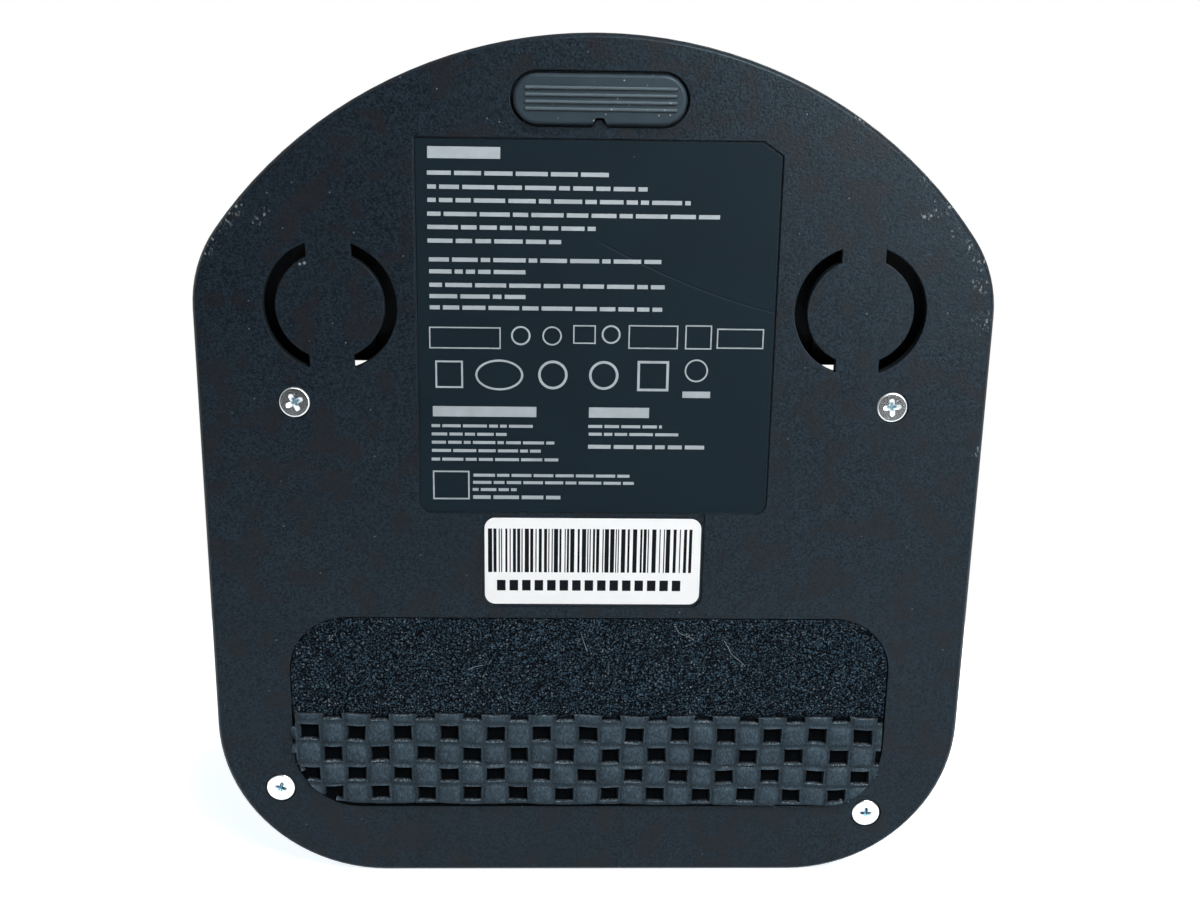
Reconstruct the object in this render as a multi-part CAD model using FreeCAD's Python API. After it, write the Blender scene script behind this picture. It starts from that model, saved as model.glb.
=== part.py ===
import FreeCAD, Part
import math
import os

# Charging dock of a robot vacuum, in millimetres. It stands on the plane z = 0 with its curved
# front edge towards -Y and its straight rear edge towards +Y. The origin is under its centre.

V = FreeCAD.Vector
TOUCH = 1e-4                  # points closer than this are the same

# Outline seen from above
WIDTH = 155.9
DEPTH = 175.2
FRONT_RADIUS = 90.3           # arc of the front edge
FRONT_CORNER_RADIUS = 26.0
REAR_CORNER_RADIUS = 34.5

# Heights and walls
PAD_PROUD = 1.4               # how far the foot and the mat lift the underside off the floor
BASE_WALL = 2.2
WALL = 2.2                    # wall of the top housing
HEIGHT = 92.0                 # floor to the tower's roof
FIT_GAP = 0.3                 # clearance between mouldings
BASE_EDGE_CHAMFER = 0.7

# Platform and tower
LIP_SPARE = 0.6               # room inside the housing at the front edge
RAMP_LENGTH = 33.0
RAMP_BLEND = 40.0             # radius where the ramp runs out into the flat
PLATFORM_CHAMFER = 0.9
LEDGE = 3.0                   # the tower stands this far inside the outline
TOWER_DEPTH = 64.95           # rear edge of the outline to the middle of the tower's front
BAY_RADIUS = 172.0            # hollow front of the tower, which takes the robot's bumper
WING_RADIUS = 16.0
ROOF_BEVEL = 2.6              # bevelled edge of the tower's roof

# Sprung charging contacts
CONTACT_SIDE_MARGIN = 26.45   # side of the outline to the middle of a contact
CONTACT_SETBACK = 51.55       # front edge to the contacts
CONTACT_WIDTH = 11.0
CONTACT_LENGTH = 24.0
CONTACT_SHEET = 0.6
CONTACT_CROWN = 3.6           # top of the arch above the platform
CONTACT_END = 0.9             # ends of the arch above the platform
CONTACT_LEG = 1.6             # how far the folded ends reach below the platform
CONTACT_TRAVEL = 2.8
CARRIER_FLANGE = 1.5
CARRIER_EAR = 2.0             # overlap of the flange under the platform, each side
STOP_GAP = 0.1
PRESS_SPARE = 0.8             # room left under a contact that is pressed right down
WINDOW_GAP = 0.4              # clearance around the contact in its window
DRAIN_WIDTH = 3.4
DRAIN_LENGTH = 3.4
SPRING_SPAN = 15.0            # folded leaf spring, foot to foot
SPRING_CROWN = 5.0            # flat top of the spring
SPRING_WIDTH = 6.0
SPRING_SHEET = 0.5
SPRING_POCKET_ROOF = 2.2      # carrier left over the spring
SPRING_GAP = 0.5
TERMINAL_SHEET = 0.4
TERMINAL_PAD = 17.0           # length of the pad under the spring
TERMINAL_PAD_WIDTH = 10.0
TERMINAL_STRIP = 5.0          # width of the strip that runs back over the bridge
STRIP_BEHIND = 2.0            # fold of the strip behind the power board's front edge

# Split round slots in the base, around the spring seats
SLOT_OUTER_RADIUS = 12.9
SLOT_WIDTH = 2.4
SLOT_BRIDGE = 8.6

# Foot at the front tip
FOOT_SETBACK = 11.95
FOOT_LENGTH = 32.5
FOOT_WIDTH = 9.25
FOOT_RECESS = 1.2
FOOT_GAP = 0.5
FOOT_RIB = 0.35
FOOT_RIB_WIDTH = 0.6
FOOT_RIB_PITCH = 1.35
FOOT_RIB_COUNT = 4
FOOT_RIB_END = 1.8            # smooth border at each end of the ribs
FOOT_NOTCH_WIDTH = 3.6
FOOT_NOTCH_DEPTH = 1.2

# Labels
LABEL_WIDTH = 69.2
LABEL_GAP = 0.35
LABEL_RECESS = 0.45
LABEL_SHEET = 0.25
LABEL_CORNER = 1.5
LABEL_CUT_X = 3.8             # cut corner of the label
LABEL_CUT_Y = 2.6
FOOT_TO_LABEL = 3.0
SERIAL_WIDTH = 44.0
SERIAL_HEIGHT = 18.6
SERIAL_SHEET = 0.15
SERIAL_CORNER = 2.2
SERIAL_MARGIN = 0.55
SERIAL_LEAD = 1.4             # from the label's rear edge to the sticker
TAB_CORNER = 2.6
TAB_TO_PAD = 2.5

# Foam pad and grip mat
PAD_SIDE_MARGIN = 15.55
PAD_REAR_MARGIN = 15.65
PAD_LENGTH = 43.4
PAD_FRONT_RADIUS = 12.0
PAD_REAR_RADIUS = 14.0
PAD_GAP = 0.25
PAD_RECESS = 1.0
FOAM_THICKNESS = 0.9
MAT_LENGTH = 21.8
MAT_TAB = 1.0                 # front edge, cut through a row of holes
MAT_CELL = 4.85
MAT_HOLE_X = 3.7
MAT_HOLE_Y = 3.0
MAT_BORDER = 0.7              # rubber left at the mat's edge

# Screws that close the base
SCREW_RADIUS = 1.5
SCREW_SIDES = 6               # lobed thread-forming shank
FRONT_SCREW_LENGTH = 6.4
REAR_SCREW_LENGTH = 9.0
PILOT_GAP = 0.05              # thread-forming screw in its boss
PILOT_SPARE = 0.5             # hole left beyond the screw's tip
SCREW_HEAD_RADIUS = 3.0
SCREW_HEAD_HEIGHT = 1.2
SCREW_CROSS_WIDTH = 0.9
SCREW_CROSS_SPAN = 3.4
SCREW_CROSS_DEPTH = 0.8
SCREW_SEAT = 1.2              # depth of the counterbore
SCREW_HOLE_GAP = 0.2
BOSS_WALL = 2.1
FRONT_SCREW_OUTSIDE = 7.6     # further out than the contacts
FRONT_SCREW_BEHIND = 19.2     # behind the contacts
REAR_SCREW_INSET = 8.15       # in from the outline
REAR_SCREW_LEFT_DEG = 33.35   # up from the width, about the rear corner's centre
REAR_SCREW_RIGHT_DEG = 51.3
REAR_BOSS_HEIGHT = 16.0
LOCATING_RIB = 1.6            # thickness of the upright ribs that centre the housing on the base
LOCATING_RIB_LENGTH = 24.0
LOCATING_RIB_HEIGHT = 3.0

# Power supply
BOARD_CLEAR = 10.0            # ballast to the underside of the power board
BOARD_SHEET = 1.6
BOARD_SIDE_MARGIN = 16.5      # left side of the tower to the power board
BOARD_TO_WALL = 3.0           # from the right edge to the inside of the tower
BOARD_FRONT = 7.5             # behind the middle of the tower's front
BOARD_LENGTH = 34.0
BOARD_POST = 5.0
BOARD_POST_INSET_X = 6.0
BOARD_POST_INSET_Y = 9.0
HOOK_WALL = 1.8               # snap hooks at the ends of the power board
HOOK_LENGTH = 6.0
HOOK_CATCH = 0.9
HOOK_HEAD = 2.6
HOOK_LAND = 0.8
HOOK_FROM_REAR = 9.8
BALLAST_SIDE_GAP = 3.0        # from the strips that run back from the contacts
BALLAST_LENGTH = 38.0
BALLAST_SHEET = 3.0
BALLAST_CORNER = 4.0
BALLAST_STOP = 2.0            # ribs that keep the ballast in place
BALLAST_STOP_LENGTH = 12.0

# Parts that stand on the power board, each beside the next. BACK is from the board's front edge.
PART_GAP = 1.0
FUSE_BACK = 28.0
FUSE_SIZE = (8.5, 4.0, 8.0)
LINE_CAPACITOR_BACK = 8.0
LINE_CAPACITOR_SIZE = (18.0, 7.5, 14.0)
LINE_CHOKE_BACK = 24.0
LINE_CHOKE_SIZE = (17.0, 13.0, 18.0)
CHOKE_CHEEK = 2.0
RECTIFIER_BACK = 8.5
RECTIFIER_SIZE = (4.0, 15.0, 11.0)
BULK_CAPACITOR_BACK = 11.0
BULK_CAPACITOR_RADIUS = 8.0
BULK_CAPACITOR_HEIGHT = 28.0
TRANSFORMER_BACK = 17.0
CORE_SIZE = (25.0, 20.0, 21.0)
CORE_LEG = 6.0
WINDING_SPAN = 26.0
WINDING_GAP = 0.3
WINDING_FOOT = 2.0
HEAT_SINK_BACK = 29.0
HEAT_SINK_SIZE = (26.0, 2.0, 26.0)
HEAT_SINK_FOLD = 6.0
SWITCH_SIZE = (10.2, 4.4, 15.0)
OUTPUT_CAPACITOR_BACK = 10.0
OUTPUT_CAPACITOR_RADIUS = 5.0
OUTPUT_CAPACITOR_HEIGHT = 20.0
SAFE_GAP = 6.5                # between the mains side and the low-voltage side

# Mains inlet for a two-pole plug
INLET_WIDTH = 19.0
INLET_HEIGHT = 12.4
INLET_DEPTH = 15.0
INLET_BEHIND = 11.0           # behind the front edge of the power board
INLET_SUNK = 0.4              # face behind the tower's wall
INLET_MOUTH_WIDTH = 16.0
INLET_MOUTH_HEIGHT = 8.4
INLET_MOUTH_DEPTH = 10.5
INLET_WAIST = 0.9             # ridges between the two poles
INLET_PIN_PITCH = 8.6
INLET_PIN_RADIUS = 1.19
INLET_PIN_LENGTH = 9.0

# Signal parts under the roof
SIGNAL_BOARD_DROP = 17.0      # roof to the top of the signal board
SIGNAL_BOARD_WIDTH = 46.0
SIGNAL_BOARD_LENGTH = 24.0
SIGNAL_BOARD_SHEET = 1.2
SIGNAL_BOARD_BEHIND = 2.4     # behind the inside of the tower's front
RAIL_WALL = 3.0               # grooved rails that hold the signal board under the roof
RAIL_LENGTH = 16.0
RAIL_GRIP = 1.5
RAIL_UNDER = 2.0
RAIL_GAP = 0.1
EMITTER_WIDTH = 4.4           # side-looking diode
EMITTER_LENGTH = 2.6
EMITTER_HEIGHT = 5.8
EMITTER_PITCH = 16.0
LAMP_WIDTH = 3.0
LAMP_LENGTH = 2.0
LAMP_HEIGHT = 1.6
WINDOW_WIDTH = 36.0
WINDOW_HEIGHT = 13.0
PANE_GAP = 0.15
PANE_FLANGE = 1.2
PANE_BORDER = 2.0
RIBBON_WIDTH = 5.2
RIBBON_SHEET = 0.9
RIBBON_INSET = 3.5            # from the signal board's right edge
HEADER_WIDTH = 8.0
HEADER_LENGTH = 5.0
HEADER_HEIGHT = 6.0

# Places worked out from the sizes above
FRONT_Y = -DEPTH / 2
REAR_Y = DEPTH / 2
HALF = WIDTH / 2
UNDER_Z = PAD_PROUD
SEAM_Z = UNDER_Z + BASE_WALL
TERMINAL_Z = SEAM_Z + TERMINAL_SHEET
FLANGE_Z = TERMINAL_Z + PRESS_SPARE + CONTACT_TRAVEL
CEILING_Z = FLANGE_Z + CARRIER_FLANGE + STOP_GAP
PLATFORM_Z = CEILING_Z + WALL
EDGE_Z = SEAM_Z + LIP_SPARE + WALL

FRONT_ARC_Y = FRONT_Y + FRONT_RADIUS
CORNER_X = HALF - FRONT_CORNER_RADIUS
CORNER_REACH = FRONT_RADIUS - FRONT_CORNER_RADIUS
CORNER_Y = FRONT_ARC_Y - math.sqrt(CORNER_REACH ** 2 - CORNER_X ** 2)
REAR_X = HALF - REAR_CORNER_RADIUS
REAR_CORNER_Y = REAR_Y - REAR_CORNER_RADIUS

TOWER_HALF = HALF - LEDGE
TOWER_FRONT_Y = REAR_Y - TOWER_DEPTH
BAY_Y = TOWER_FRONT_Y - BAY_RADIUS
WING_X = TOWER_HALF - WING_RADIUS
WING_REACH = BAY_RADIUS + WING_RADIUS
WING_Y = BAY_Y + math.sqrt(WING_REACH ** 2 - WING_X ** 2)

CONTACT_X = HALF - CONTACT_SIDE_MARGIN
CONTACT_Y = FRONT_Y + CONTACT_SETBACK
SIDES = {"left": -1, "right": 1}

PAD_WIDTH = WIDTH - 2 * PAD_SIDE_MARGIN
PAD_REAR_Y = REAR_Y - PAD_REAR_MARGIN
PAD_FRONT_Y = PAD_REAR_Y - PAD_LENGTH
PAD_Y = (PAD_FRONT_Y + PAD_REAR_Y) / 2
MAT_Z = UNDER_Z + PAD_RECESS - FOAM_THICKNESS

FOOT_Y = FRONT_Y + FOOT_SETBACK
LABEL_FRONT_Y = FOOT_Y + FOOT_WIDTH / 2 + FOOT_TO_LABEL
TAB_REAR_Y = PAD_FRONT_Y - TAB_TO_PAD
SERIAL_REAR_Y = TAB_REAR_Y - SERIAL_MARGIN
SERIAL_FRONT_Y = SERIAL_REAR_Y - SERIAL_HEIGHT
LABEL_REAR_Y = SERIAL_FRONT_Y - SERIAL_LEAD

BALLAST_WIDTH = 2 * (CONTACT_X - TERMINAL_STRIP / 2 - BALLAST_SIDE_GAP)
BALLAST_Z = SEAM_Z
BOARD_Z = BALLAST_Z + BALLAST_SHEET + BOARD_CLEAR
BOARD_TOP = BOARD_Z + BOARD_SHEET
BOARD_FRONT_Y = TOWER_FRONT_Y + BOARD_FRONT
BOARD_REAR_Y = BOARD_FRONT_Y + BOARD_LENGTH
BOARD_LEFT_X = BOARD_SIDE_MARGIN - TOWER_HALF
BOARD_RIGHT_X = TOWER_HALF - WALL - BOARD_TO_WALL
INLET_Y = BOARD_FRONT_Y + INLET_BEHIND
INLET_Z = BOARD_TOP + INLET_HEIGHT / 2
INLET_FACE_X = TOWER_HALF - INLET_SUNK

ROOF_Z = HEIGHT - WALL
SIGNAL_TOP = ROOF_Z - SIGNAL_BOARD_DROP
WINDOW_Z = SIGNAL_TOP + EMITTER_HEIGHT / 2
SIGNAL_FRONT_Y = TOWER_FRONT_Y + WALL + SIGNAL_BOARD_BEHIND
SIGNAL_REAR_Y = SIGNAL_FRONT_Y + SIGNAL_BOARD_LENGTH
SIGNAL_Y = SIGNAL_FRONT_Y + SIGNAL_BOARD_LENGTH / 2
RIBBON_X = SIGNAL_BOARD_WIDTH / 2 - RIBBON_INSET
RIBBON_Y = SIGNAL_REAR_Y - 2 * RIBBON_SHEET

HEADER_LEFT_X = RIBBON_X - HEADER_WIDTH / 2
HEADER_RIGHT_X = RIBBON_X + HEADER_WIDTH / 2
LINE_CHOKE_X = HEADER_RIGHT_X + PART_GAP + LINE_CHOKE_SIZE[0] / 2
LINE_CAPACITOR_X = LINE_CHOKE_X
FUSE_X = LINE_CHOKE_X + LINE_CHOKE_SIZE[0] / 2 + PART_GAP + FUSE_SIZE[0] / 2
RECTIFIER_X = HEADER_LEFT_X - PART_GAP - RECTIFIER_SIZE[0] / 2
BULK_CAPACITOR_X = RECTIFIER_X - RECTIFIER_SIZE[0] / 2 - PART_GAP - BULK_CAPACITOR_RADIUS
HEAT_SINK_X = BULK_CAPACITOR_X
TRANSFORMER_X = BULK_CAPACITOR_X - BULK_CAPACITOR_RADIUS - PART_GAP - CORE_SIZE[0] / 2
OUTPUT_CAPACITOR_X = TRANSFORMER_X - CORE_SIZE[0] / 2 - SAFE_GAP - OUTPUT_CAPACITOR_RADIUS


def level(z):
    """Function that places a plan point at height z."""
    return lambda x, y: V(x, y, z)


def rounded_polygon(corners, place):
    """Closed wire through (u, v, radius) corners, each rounded by its tangent arc."""
    trims = []
    for index, (u, v, radius) in enumerate(corners):
        tip = V(u, v, 0)
        before = V(*corners[index - 1][:2], 0) - tip
        after = V(*corners[(index + 1) % len(corners)][:2], 0) - tip
        before.normalize()
        after.normalize()
        half_angle = before.getAngle(after) / 2
        run = radius / math.tan(half_angle)
        middle = before + after
        middle.normalize()
        belly = tip + middle * (radius / math.sin(half_angle) - radius)
        trims.append((tip + before * run, belly, tip + after * run, radius))
    edges = []
    for index, (start, belly, end, radius) in enumerate(trims):
        if radius > 0:
            edges.append(Part.Arc(place(*start[:2]), place(*belly[:2]), place(*end[:2])).toShape())
        following = trims[(index + 1) % len(trims)][0]
        if (following - end).Length > TOUCH:
            edges.append(Part.makeLine(place(*end[:2]), place(*following[:2])))
    return Part.Wire(edges)


def rounded_rectangle(x, y, width, length, radius, place):
    """Wire of a rectangle centred on (x, y) with rounded corners."""
    left, right = x - width / 2, x + width / 2
    front, rear = y - length / 2, y + length / 2
    corners = [(left, front, radius), (right, front, radius), (right, rear, radius), (left, rear, radius)]
    return rounded_polygon(corners, place)


def prism(wire, travel):
    """Solid swept from a closed flat wire along a vector."""
    return Part.Face(wire).extrude(travel)


def slab(x, y, width, length, radius, low, high):
    """Upright rounded block between two heights."""
    return prism(rounded_rectangle(x, y, width, length, radius, level(low)), V(0, 0, high - low))


def post(x, y, radius, low, high):
    """Upright round post between two heights."""
    return Part.makeCylinder(radius, high - low, V(x, y, low))


def edges_above(shape, z):
    """Edges of a shape that lie in its top plane."""
    return [edge for edge in shape.Edges if edge.BoundBox.ZMin > z - TOUCH]


def fuse_all(shapes):
    """One shape from several, with coplanar seams removed."""
    return shapes[0].multiFuse(shapes[1:]).removeSplitter()


def outline(inset, z):
    """Edges of the dock's plan outline, moved in by inset: front arc, corner arcs, sides and rear."""
    half = HALF - inset
    rear = REAR_Y - inset
    front_r = FRONT_RADIUS - inset
    corner_r = FRONT_CORNER_RADIUS - inset
    rear_r = REAR_CORNER_RADIUS - inset
    to_corner = V(CORNER_X, CORNER_Y - FRONT_ARC_Y, 0) / CORNER_REACH
    joint_x = to_corner.x * front_r
    joint_y = FRONT_ARC_Y + to_corner.y * front_r
    bisector = to_corner + V(1, 0, 0)
    bisector.normalize()
    corner_mid = V(CORNER_X, CORNER_Y, 0) + bisector * corner_r
    rear_mid = V(REAR_X, REAR_CORNER_Y, 0) + V(1, 1, 0) * (rear_r / math.sqrt(2))
    at = level(z)
    return [
        Part.Arc(at(-joint_x, joint_y), at(0, FRONT_ARC_Y - front_r), at(joint_x, joint_y)).toShape(),
        Part.Arc(at(joint_x, joint_y), at(corner_mid.x, corner_mid.y), at(half, CORNER_Y)).toShape(),
        Part.makeLine(at(half, CORNER_Y), at(half, REAR_CORNER_Y)),
        Part.Arc(at(half, REAR_CORNER_Y), at(rear_mid.x, rear_mid.y), at(REAR_X, rear)).toShape(),
        Part.makeLine(at(REAR_X, rear), at(-REAR_X, rear)),
        Part.Arc(at(-REAR_X, rear), at(-rear_mid.x, rear_mid.y), at(-half, REAR_CORNER_Y)).toShape(),
        Part.makeLine(at(-half, REAR_CORNER_Y), at(-half, CORNER_Y)),
        Part.Arc(at(-half, CORNER_Y), at(-corner_mid.x, corner_mid.y), at(-joint_x, joint_y)).toShape(),
    ]


def tower_outline(inset, z):
    """Edges of the tower's plan outline, moved in by inset: hollow front, round wings, sides and rear."""
    half = TOWER_HALF - inset
    rear = REAR_Y - LEDGE - inset
    rear_r = REAR_CORNER_RADIUS - LEDGE - inset
    wing_r = WING_RADIUS - inset
    bay_r = BAY_RADIUS + inset
    to_wing = V(WING_X, WING_Y - BAY_Y, 0) / WING_REACH
    meet_x = to_wing.x * bay_r
    meet_y = BAY_Y + to_wing.y * bay_r
    bisector = V(1, 0, 0) - to_wing
    bisector.normalize()
    wing_mid = V(WING_X, WING_Y, 0) + bisector * wing_r
    rear_mid = V(REAR_X, REAR_CORNER_Y, 0) + V(1, 1, 0) * (rear_r / math.sqrt(2))
    at = level(z)
    return [
        Part.Arc(at(-meet_x, meet_y), at(0, BAY_Y + bay_r), at(meet_x, meet_y)).toShape(),
        Part.Arc(at(meet_x, meet_y), at(wing_mid.x, wing_mid.y), at(half, WING_Y)).toShape(),
        Part.makeLine(at(half, WING_Y), at(half, REAR_CORNER_Y)),
        Part.Arc(at(half, REAR_CORNER_Y), at(rear_mid.x, rear_mid.y), at(REAR_X, rear)).toShape(),
        Part.makeLine(at(REAR_X, rear), at(-REAR_X, rear)),
        Part.Arc(at(-REAR_X, rear), at(-rear_mid.x, rear_mid.y), at(-half, REAR_CORNER_Y)).toShape(),
        Part.makeLine(at(-half, REAR_CORNER_Y), at(-half, WING_Y)),
        Part.Arc(at(-half, WING_Y), at(-wing_mid.x, wing_mid.y), at(-meet_x, meet_y)).toShape(),
    ]


def platform_body(inset, chamfer):
    """Filled platform: the outline under a profile that ramps up from the front edge."""
    top = PLATFORM_Z - inset
    edge = EDGE_Z - inset
    fall = (top - edge) / RAMP_LENGTH
    ahead = DEPTH / 4
    corners = [
        (FRONT_Y - ahead, SEAM_Z - DEPTH, 0),
        (REAR_Y + ahead, SEAM_Z - DEPTH, 0),
        (REAR_Y + ahead, top, 0),
        (FRONT_Y + RAMP_LENGTH, top, RAMP_BLEND),
        (FRONT_Y - ahead, edge - fall * ahead, 0),
    ]
    profile = rounded_polygon(corners, lambda y, z: V(-WIDTH, y, z))
    under_profile = prism(profile, V(2 * WIDTH, 0, 0))
    column = prism(Part.Wire(outline(inset, SEAM_Z)), V(0, 0, top - SEAM_Z))
    if chamfer > 0:
        column = column.makeChamfer(chamfer, edges_above(column, top))
    return column.common(under_profile)


def tower_body(inset, low):
    """Filled tower, with a bevelled roof edge on the outside."""
    top = HEIGHT - inset
    walls = prism(Part.Wire(tower_outline(inset, low)), V(0, 0, top - low))
    if inset > 0:
        return walls
    return walls.makeChamfer(ROOF_BEVEL, edges_above(walls, top))


def rear_screw_places():
    """Plan places and turns of the two rear screws, about the centres of the rear corners."""
    reach = REAR_CORNER_RADIUS - REAR_SCREW_INSET
    left = math.radians(REAR_SCREW_LEFT_DEG)
    right = math.radians(REAR_SCREW_RIGHT_DEG)
    return [
        (-REAR_X - reach * math.cos(left), REAR_CORNER_Y + reach * math.sin(left), -REAR_SCREW_LEFT_DEG),
        (REAR_X + reach * math.cos(right), REAR_CORNER_Y + reach * math.sin(right), REAR_SCREW_RIGHT_DEG),
    ]


def front_screw_places():
    """Plan places and turns of the two front screws, behind the contacts."""
    y = CONTACT_Y + FRONT_SCREW_BEHIND
    x = CONTACT_X + FRONT_SCREW_OUTSIDE
    return [(side * x, y, 0) for side in SIDES.values()]


def board_post_places():
    """Plan places of the four posts under the power board."""
    left, right = BOARD_LEFT_X + BOARD_POST_INSET_X, BOARD_RIGHT_X - BOARD_POST_INSET_X
    front, rear = BOARD_FRONT_Y + BOARD_POST_INSET_Y, BOARD_REAR_Y - BOARD_POST_INSET_Y
    return [(x, y) for x in (left, right) for y in (front, rear)]


def contact_window(side):
    """Hole in the platform for one contact, with a drain notch at its inner rear corner."""
    x = side * CONTACT_X
    width = CONTACT_WIDTH + 2 * WINDOW_GAP
    length = CONTACT_LENGTH + 2 * WINDOW_GAP
    low, high = CEILING_Z - WALL, PLATFORM_Z + WALL
    hole = slab(x, CONTACT_Y, width, length, 0, low, high)
    drain_x = x - side * (width - DRAIN_WIDTH) / 2
    drain = slab(drain_x, CONTACT_Y + length / 2, DRAIN_WIDTH, 2 * DRAIN_LENGTH, 0, low, high)
    return hole.fuse(drain)


def inlet_block(gap, reach):
    """Block of the inlet, widened by gap, from its back to reach past its face."""
    width = INLET_WIDTH + 2 * gap
    height = INLET_HEIGHT + 2 * gap
    corner = V(INLET_FACE_X - INLET_DEPTH, INLET_Y - width / 2, INLET_Z - height / 2)
    return Part.makeBox(INLET_DEPTH + reach, width, height, corner)


def window_block(border):
    """Block through the tower's front for the signal window, grown by border."""
    width = WINDOW_WIDTH + 2 * border
    height = WINDOW_HEIGHT + 2 * border
    place = lambda x, z: V(x, TOWER_FRONT_Y - WALL, z)
    wire = rounded_rectangle(0, WINDOW_Z, width, height, 0, place)
    return prism(wire, V(0, SIGNAL_FRONT_Y - TOWER_FRONT_Y + 2 * WALL, 0))


def signal_rail(side):
    """Rail under the roof with a groove for one edge of the signal board."""
    x = side * (SIGNAL_BOARD_WIDTH / 2 + RAIL_WALL / 2 - RAIL_GRIP)
    low = SIGNAL_TOP - SIGNAL_BOARD_SHEET
    rail = slab(x, SIGNAL_Y, RAIL_WALL, RAIL_LENGTH, 0, low - RAIL_UNDER, ROOF_Z + WALL / 2)
    width = SIGNAL_BOARD_WIDTH + 2 * RAIL_GAP
    return rail.cut(slab(0, SIGNAL_Y, width, SIGNAL_BOARD_LENGTH, 0, low - RAIL_GAP, SIGNAL_TOP + RAIL_GAP))


def lobed_core(x, y, radius, low, high):
    """Upright six-sided core: the shank of a thread-forming screw, or the cored hole that it bites into."""
    turns = [2 * math.pi * k / SCREW_SIDES for k in range(SCREW_SIDES)]
    corners = [(x + radius * math.cos(turn), y + radius * math.sin(turn), 0) for turn in turns]
    return prism(rounded_polygon(corners, level(low)), V(0, 0, high - low))


def screw_boss(place, screw_length, top):
    """Square boss that hangs down to the base, and the cored hole for its screw."""
    x, y, turn = place
    width = 2 * (SCREW_RADIUS + BOSS_WALL)
    boss = slab(x, y, width, width, 0, SEAM_Z, top)
    boss.rotate(V(x, y, 0), V(0, 0, 1), turn)
    hole_top = UNDER_Z + SCREW_SEAT + screw_length + PILOT_SPARE
    return boss, lobed_core(x, y, SCREW_RADIUS + PILOT_GAP, SEAM_Z, hole_top)


def top_housing():
    """Platform and tower as one hollow moulding, open below."""
    outer = platform_body(0, PLATFORM_CHAMFER).fuse(tower_body(0, CEILING_Z)).removeSplitter()
    hollow = platform_body(WALL, 0).fuse(tower_body(WALL, SEAM_Z))
    front = [screw_boss(place, FRONT_SCREW_LENGTH, CEILING_Z + WALL / 2) for place in front_screw_places()]
    rear = [screw_boss(place, REAR_SCREW_LENGTH, SEAM_Z + REAR_BOSS_HEIGHT) for place in rear_screw_places()]
    bosses = [boss for boss, hole in front + rear]
    holes = [hole for boss, hole in front + rear]
    rails = [signal_rail(side) for side in SIDES.values()]
    shell = fuse_all([outer.cut(hollow)] + bosses + rails)
    holes += [contact_window(side) for side in SIDES.values()]
    holes += [inlet_block(FIT_GAP, INLET_DEPTH), window_block(0)]
    return shell.cut(Part.makeCompound(holes))


def front_foot_plan(gap, low, high):
    """Stadium of the foot, grown by gap."""
    length = FOOT_LENGTH + 2 * gap
    width = FOOT_WIDTH + 2 * gap
    return slab(0, FOOT_Y, length, width, width / 2, low, high)


def foot_notch(gap, low, high):
    """Tapered notch in the middle of the foot's rear edge, narrowed by gap."""
    rear = FOOT_Y + FOOT_WIDTH / 2 + FOOT_GAP
    tip = FOOT_Y + FOOT_WIDTH / 2 - FOOT_NOTCH_DEPTH + gap
    half = FOOT_NOTCH_WIDTH / 2 - gap
    corners = [(-half, rear, 0), (-half / 3, tip, 0), (half / 3, tip, 0), (half, rear, 0)]
    return prism(rounded_polygon(corners, level(low)), V(0, 0, high - low))


def label_plan(low, high):
    """Rating label with its cut corner at the right front."""
    half = LABEL_WIDTH / 2
    corners = [
        (-half, LABEL_FRONT_Y, 0),
        (half - LABEL_CUT_X, LABEL_FRONT_Y, 0),
        (half, LABEL_FRONT_Y + LABEL_CUT_Y, 0),
        (half, LABEL_REAR_Y, LABEL_CORNER),
        (-half, LABEL_REAR_Y, LABEL_CORNER),
    ]
    return prism(rounded_polygon(corners, level(low)), V(0, 0, high - low))


def label_recess():
    """Shallow recess for the label, with a narrower tab behind it for the sticker."""
    half = LABEL_WIDTH / 2 + LABEL_GAP
    tab = SERIAL_WIDTH / 2 + SERIAL_MARGIN
    front = LABEL_FRONT_Y - LABEL_GAP
    shoulder = LABEL_REAR_Y + LABEL_GAP
    corners = [
        (-half, front, 0),
        (half - LABEL_CUT_X, front, 0),
        (half, front + LABEL_CUT_Y, 0),
        (half, shoulder, TAB_CORNER),
        (tab, shoulder, 0),
        (tab, TAB_REAR_Y, TAB_CORNER),
        (-tab, TAB_REAR_Y, TAB_CORNER),
        (-tab, shoulder, 0),
        (-half, shoulder, TAB_CORNER),
    ]
    return prism(rounded_polygon(corners, level(UNDER_Z)), V(0, 0, LABEL_RECESS))


def split_slot(side):
    """Round slot around a spring seat, split by a bridge at its front and rear."""
    x = side * CONTACT_X
    ring = post(x, CONTACT_Y, SLOT_OUTER_RADIUS, UNDER_Z, SEAM_Z)
    ring = ring.cut(post(x, CONTACT_Y, SLOT_OUTER_RADIUS - SLOT_WIDTH, UNDER_Z, SEAM_Z))
    return ring.cut(slab(x, CONTACT_Y, SLOT_BRIDGE, 4 * SLOT_OUTER_RADIUS, 0, UNDER_Z, SEAM_Z))


def locating_ribs():
    """Upright ribs just inside the housing's wall, at both sides and at the rear."""
    inset = WALL + FIT_GAP + LOCATING_RIB / 2
    top = SEAM_Z + LOCATING_RIB_HEIGHT
    side_y = (CORNER_Y + REAR_CORNER_Y) / 2
    ribs = [slab(side * (HALF - inset), side_y, LOCATING_RIB, LOCATING_RIB_LENGTH, 0, SEAM_Z, top)
            for side in SIDES.values()]
    ribs.append(slab(0, REAR_Y - inset, LOCATING_RIB_LENGTH, LOCATING_RIB, 0, SEAM_Z, top))
    return ribs


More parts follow.
